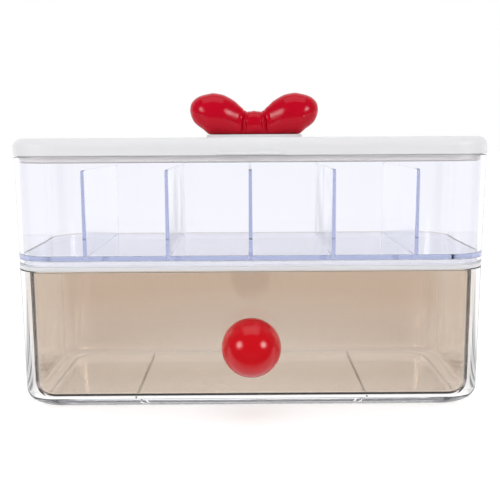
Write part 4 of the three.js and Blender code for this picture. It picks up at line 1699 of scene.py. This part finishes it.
@dataclass(frozen=True)
class Studio:
    """A white table sweep under soft light.

    The paper and the surroundings are as bright as the real ones look directly, in mirror images, through
    the clear walls, and for the rays that a clear wall leads along inside it before it lets them out.

    Attributes:
        floor_reach: half the floor's width.
        floor_gap: how far it lies under the object.
        softboxes: the lamps.
        bounces: how often a ray may go on, in all, through clear walls and through their shadows.
        mirror_bounces: how often it may be mirrored.
        paper: the colour of the paper.
        paper_glow: how much it shines for the camera, by the distance from the object.
        mirrored_paper: how much it shines in mirror images, along Y.
        backlit_paper: its colour through clear walls.
        backlight: how much it shines through them.
        backlit_table: the colour that it shines in through them, by the distance from the object.
        led_depth: the mirrorings above which a ray counts as led.
        led_light: the strength of the led light, by the share of its way that lies along Y.
        led_bands: the strength of the bands in it, by the same.
        band_pitch: how close the bands are.
        mirrored: the strength of the surroundings in mirror images, along Y.
        fill: their strength as stray light, along Y.
        seen_through: their strength through clear walls, by the height.
    """

    floor_reach: float = 6.0
    floor_gap: float = mm(0.2)
    softboxes: tuple[Softbox, ...] = (
        Softbox("overhead", (0.0, -0.15, 1.0), (0.9, 0.6), 1.0),
        Softbox("front_left", (-0.95, -0.84, 0.48), (0.85, 0.85), 10.0, round_glow=True),
        Softbox("front_right", (0.95, -0.84, 0.48), (0.75, 0.75), 12.0, round_glow=True),
    )
    bounces: int = 32
    mirror_bounces: int = 16
    paper: str = "eeeeee"
    paper_glow: Turn = Turn((0.25, 1.2), (0.45, 1.0))
    mirrored_paper: Turn = Turn((-0.108, -0.078), (0.1, 1.0))
    backlit_paper: str = "7c7c7c"
    backlight: float = 0.9
    backlit_table: tuple[tuple[float, str], ...] = (
        (0.07, "ffffff"),
        (0.134, "efe9e6"),
        (0.28, "e8d9cc"),
        (0.38, "ebded3"),
        (0.6, "ffffff"),
    )
    led_depth: float = 0.5
    led_light: Turn = Turn((0.15, 0.4), (0.42, 1.15))
    led_bands: Turn = Turn((0.15, 0.4), (0.36, 0.0))
    band_pitch: float = 60.0
    mirrored: Turn = Turn((-0.1, 0.75), (0.1, 0.95))
    fill: Turn = Turn((-0.6, 0.7), (0.3, 1.05))
    seen_through: Turn = Turn((0.2, 0.42), (1.0, 0.2))

    def set_up(self) -> None:
        """Makes the floor, the lamps, the world and the camera."""
        self.floor()
        for softbox in self.softboxes:
            softbox.set_up()
        scene = bpy.context.scene
        scene.world = bpy.data.worlds.new("studio")
        dress(scene.world, "OutputWorld", self.surroundings)
        Camera().set_up()
        scene.view_settings.view_transform = "Standard"
        scene.cycles.max_bounces = self.bounces
        scene.cycles.transmission_bounces = self.bounces
        scene.cycles.transparent_max_bounces = self.bounces
        scene.cycles.glossy_bounces = self.mirror_bounces

    def floor(self) -> None:
        """Makes the white floor."""
        bm = bmesh.new()
        bmesh.ops.create_grid(bm, x_segments=1, y_segments=1, size=self.floor_reach)
        bmesh.ops.translate(bm, verts=bm.verts, vec=(0, 0, -self.floor_gap))
        floor = new_object("floor", bm)
        floor.data.materials.append(new_material("white_sweep", self.sweep))

    def sweep(self, tree: NodeTree) -> dict[str, Node]:
        """Adds the nodes of the floor.

        Args:
            tree: its material's node tree.

        Returns:
            Its surface.
        """
        place = add_node(tree, "TexCoord").outputs["Object"]
        away = add_node(tree, "VectorMath", {0: place}, operation="LENGTH").outputs["Value"]
        along = add_node(tree, "SeparateXYZ", {"Vector": place}).outputs["Y"]
        share = add_node(tree, "Math", {0: along, 1: away}, operation="DIVIDE")
        tint = add_node(tree, "ValToRGB", {"Fac": away})
        stops = tint.color_ramp.elements
        for _ in self.backlit_table[2:]:
            stops.new(1.0)
        for stop, (at, shade) in zip(stops, self.backlit_table):
            stop.position, stop.color = at, linear(shade)
        camera, glossy, transmission, led = self.rays(tree)
        kinds = (
            (camera, self.lit_paper(tree, self.paper, self.paper_glow.add(tree, away))),
            (glossy, self.lit_paper(tree, "000000", self.mirrored_paper.add(tree, along))),
            (transmission, self.lit_paper(tree, self.backlit_paper, self.backlight, tint)),
            (led, self.lit_paper(tree, "000000", self.banded(tree, share))),
        )
        paper = add_node(tree, "BsdfDiffuse", {"Color": linear(self.paper)})
        return {"Surface": by_ray(tree, paper, kinds)}

    def surroundings(self, tree: NodeTree) -> dict[str, Node]:
        """Adds the nodes of the white surroundings.

        Args:
            tree: the world's node tree.

        Returns:
            Their surface.
        """
        way = add_node(tree, "TexCoord").outputs["Generated"]
        along, up = add_node(tree, "SeparateXYZ", {"Vector": way}).outputs[1:]
        levels = (
            self.fill.add(tree, along),
            self.mirrored.add(tree, along),
            self.seen_through.add(tree, up),
            self.banded(tree, along),
            1.0,
        )
        white = {"Color": linear("ffffff")}
        stray, *skies = (add_node(tree, "Background", {**white, "Strength": level}) for level in levels)
        camera, *others = self.rays(tree)
        return {"Surface": by_ray(tree, stray, list(zip((*others, camera), skies)))}

    def rays(self, tree: NodeTree) -> list[NodeSocket | Node]:
        """Tells the kinds of rays apart.

        Args:
            tree: the node tree that takes the nodes.

        Returns:
            What is 1 for the camera's, the mirrored, the passing and the led rays, in this order.
        """
        path = add_node(tree, "LightPath").outputs
        kinds = [path["Is Camera Ray"], path["Is Glossy Ray"], path["Is Transmission Ray"]]
        mirrored = {0: path["Glossy Depth"], 1: self.led_depth}
        deep = add_node(tree, "Math", mirrored, operation="GREATER_THAN")
        return [*kinds, add_node(tree, "Math", {0: deep, 1: kinds[-1]}, operation="MULTIPLY")]

    def lit_paper(
        self,
        tree: NodeTree,
        shade: str,
        glow: Node | float,
        tint: Node | tuple[float, ...] = linear("ffffff"),
    ) -> Node:
        """Adds paper of one shade that also shines.

        Args:
            tree: the floor's node tree.
            shade: the paper's colour.
            glow: the strength that it shines with.
            tint: the colour that it shines in.

        Returns:
            The node with the surface.
        """
        paper = add_node(tree, "BsdfDiffuse", {"Color": linear(shade)})
        shine = add_node(tree, "Emission", {"Color": tint, "Strength": glow})
        return add_node(tree, "AddShader", {0: paper, 1: shine})

    def banded(self, tree: NodeTree, part: NodeSocket | Node) -> Node:
        """Adds the strength of the led light, which is banded to the sides and even to front and back.

        Args:
            tree: the node tree that takes the nodes.
            part: the part of the ray's direction along Y.

        Returns:
            The node with the strength.
        """
        ahead = add_node(tree, "Math", {0: part}, operation="ABSOLUTE")
        turns = add_node(tree, "Math", {0: ahead, 1: self.band_pitch}, operation="MULTIPLY")
        wave = add_node(tree, "Math", {0: turns}, operation="SINE")
        swing = self.led_bands.add(tree, ahead)
        bands = add_node(tree, "Math", {0: wave, 1: swing}, operation="MULTIPLY")
        return add_node(tree, "Math", {0: self.led_light.add(tree, ahead), 1: bands}, operation="ADD")


def main() -> None:
    """Builds the scene."""
    logging.basicConfig(level=logging.INFO, format="%(message)s")
    Studio().set_up()
    finishes = make_finishes()
    for part in (Housing, Deck, Tray, Lid, Bow, Drawer, Fasteners):
        log.info("building %s", part.__name__)
        part(finishes).build()


if __name__ == "__main__":
    main()
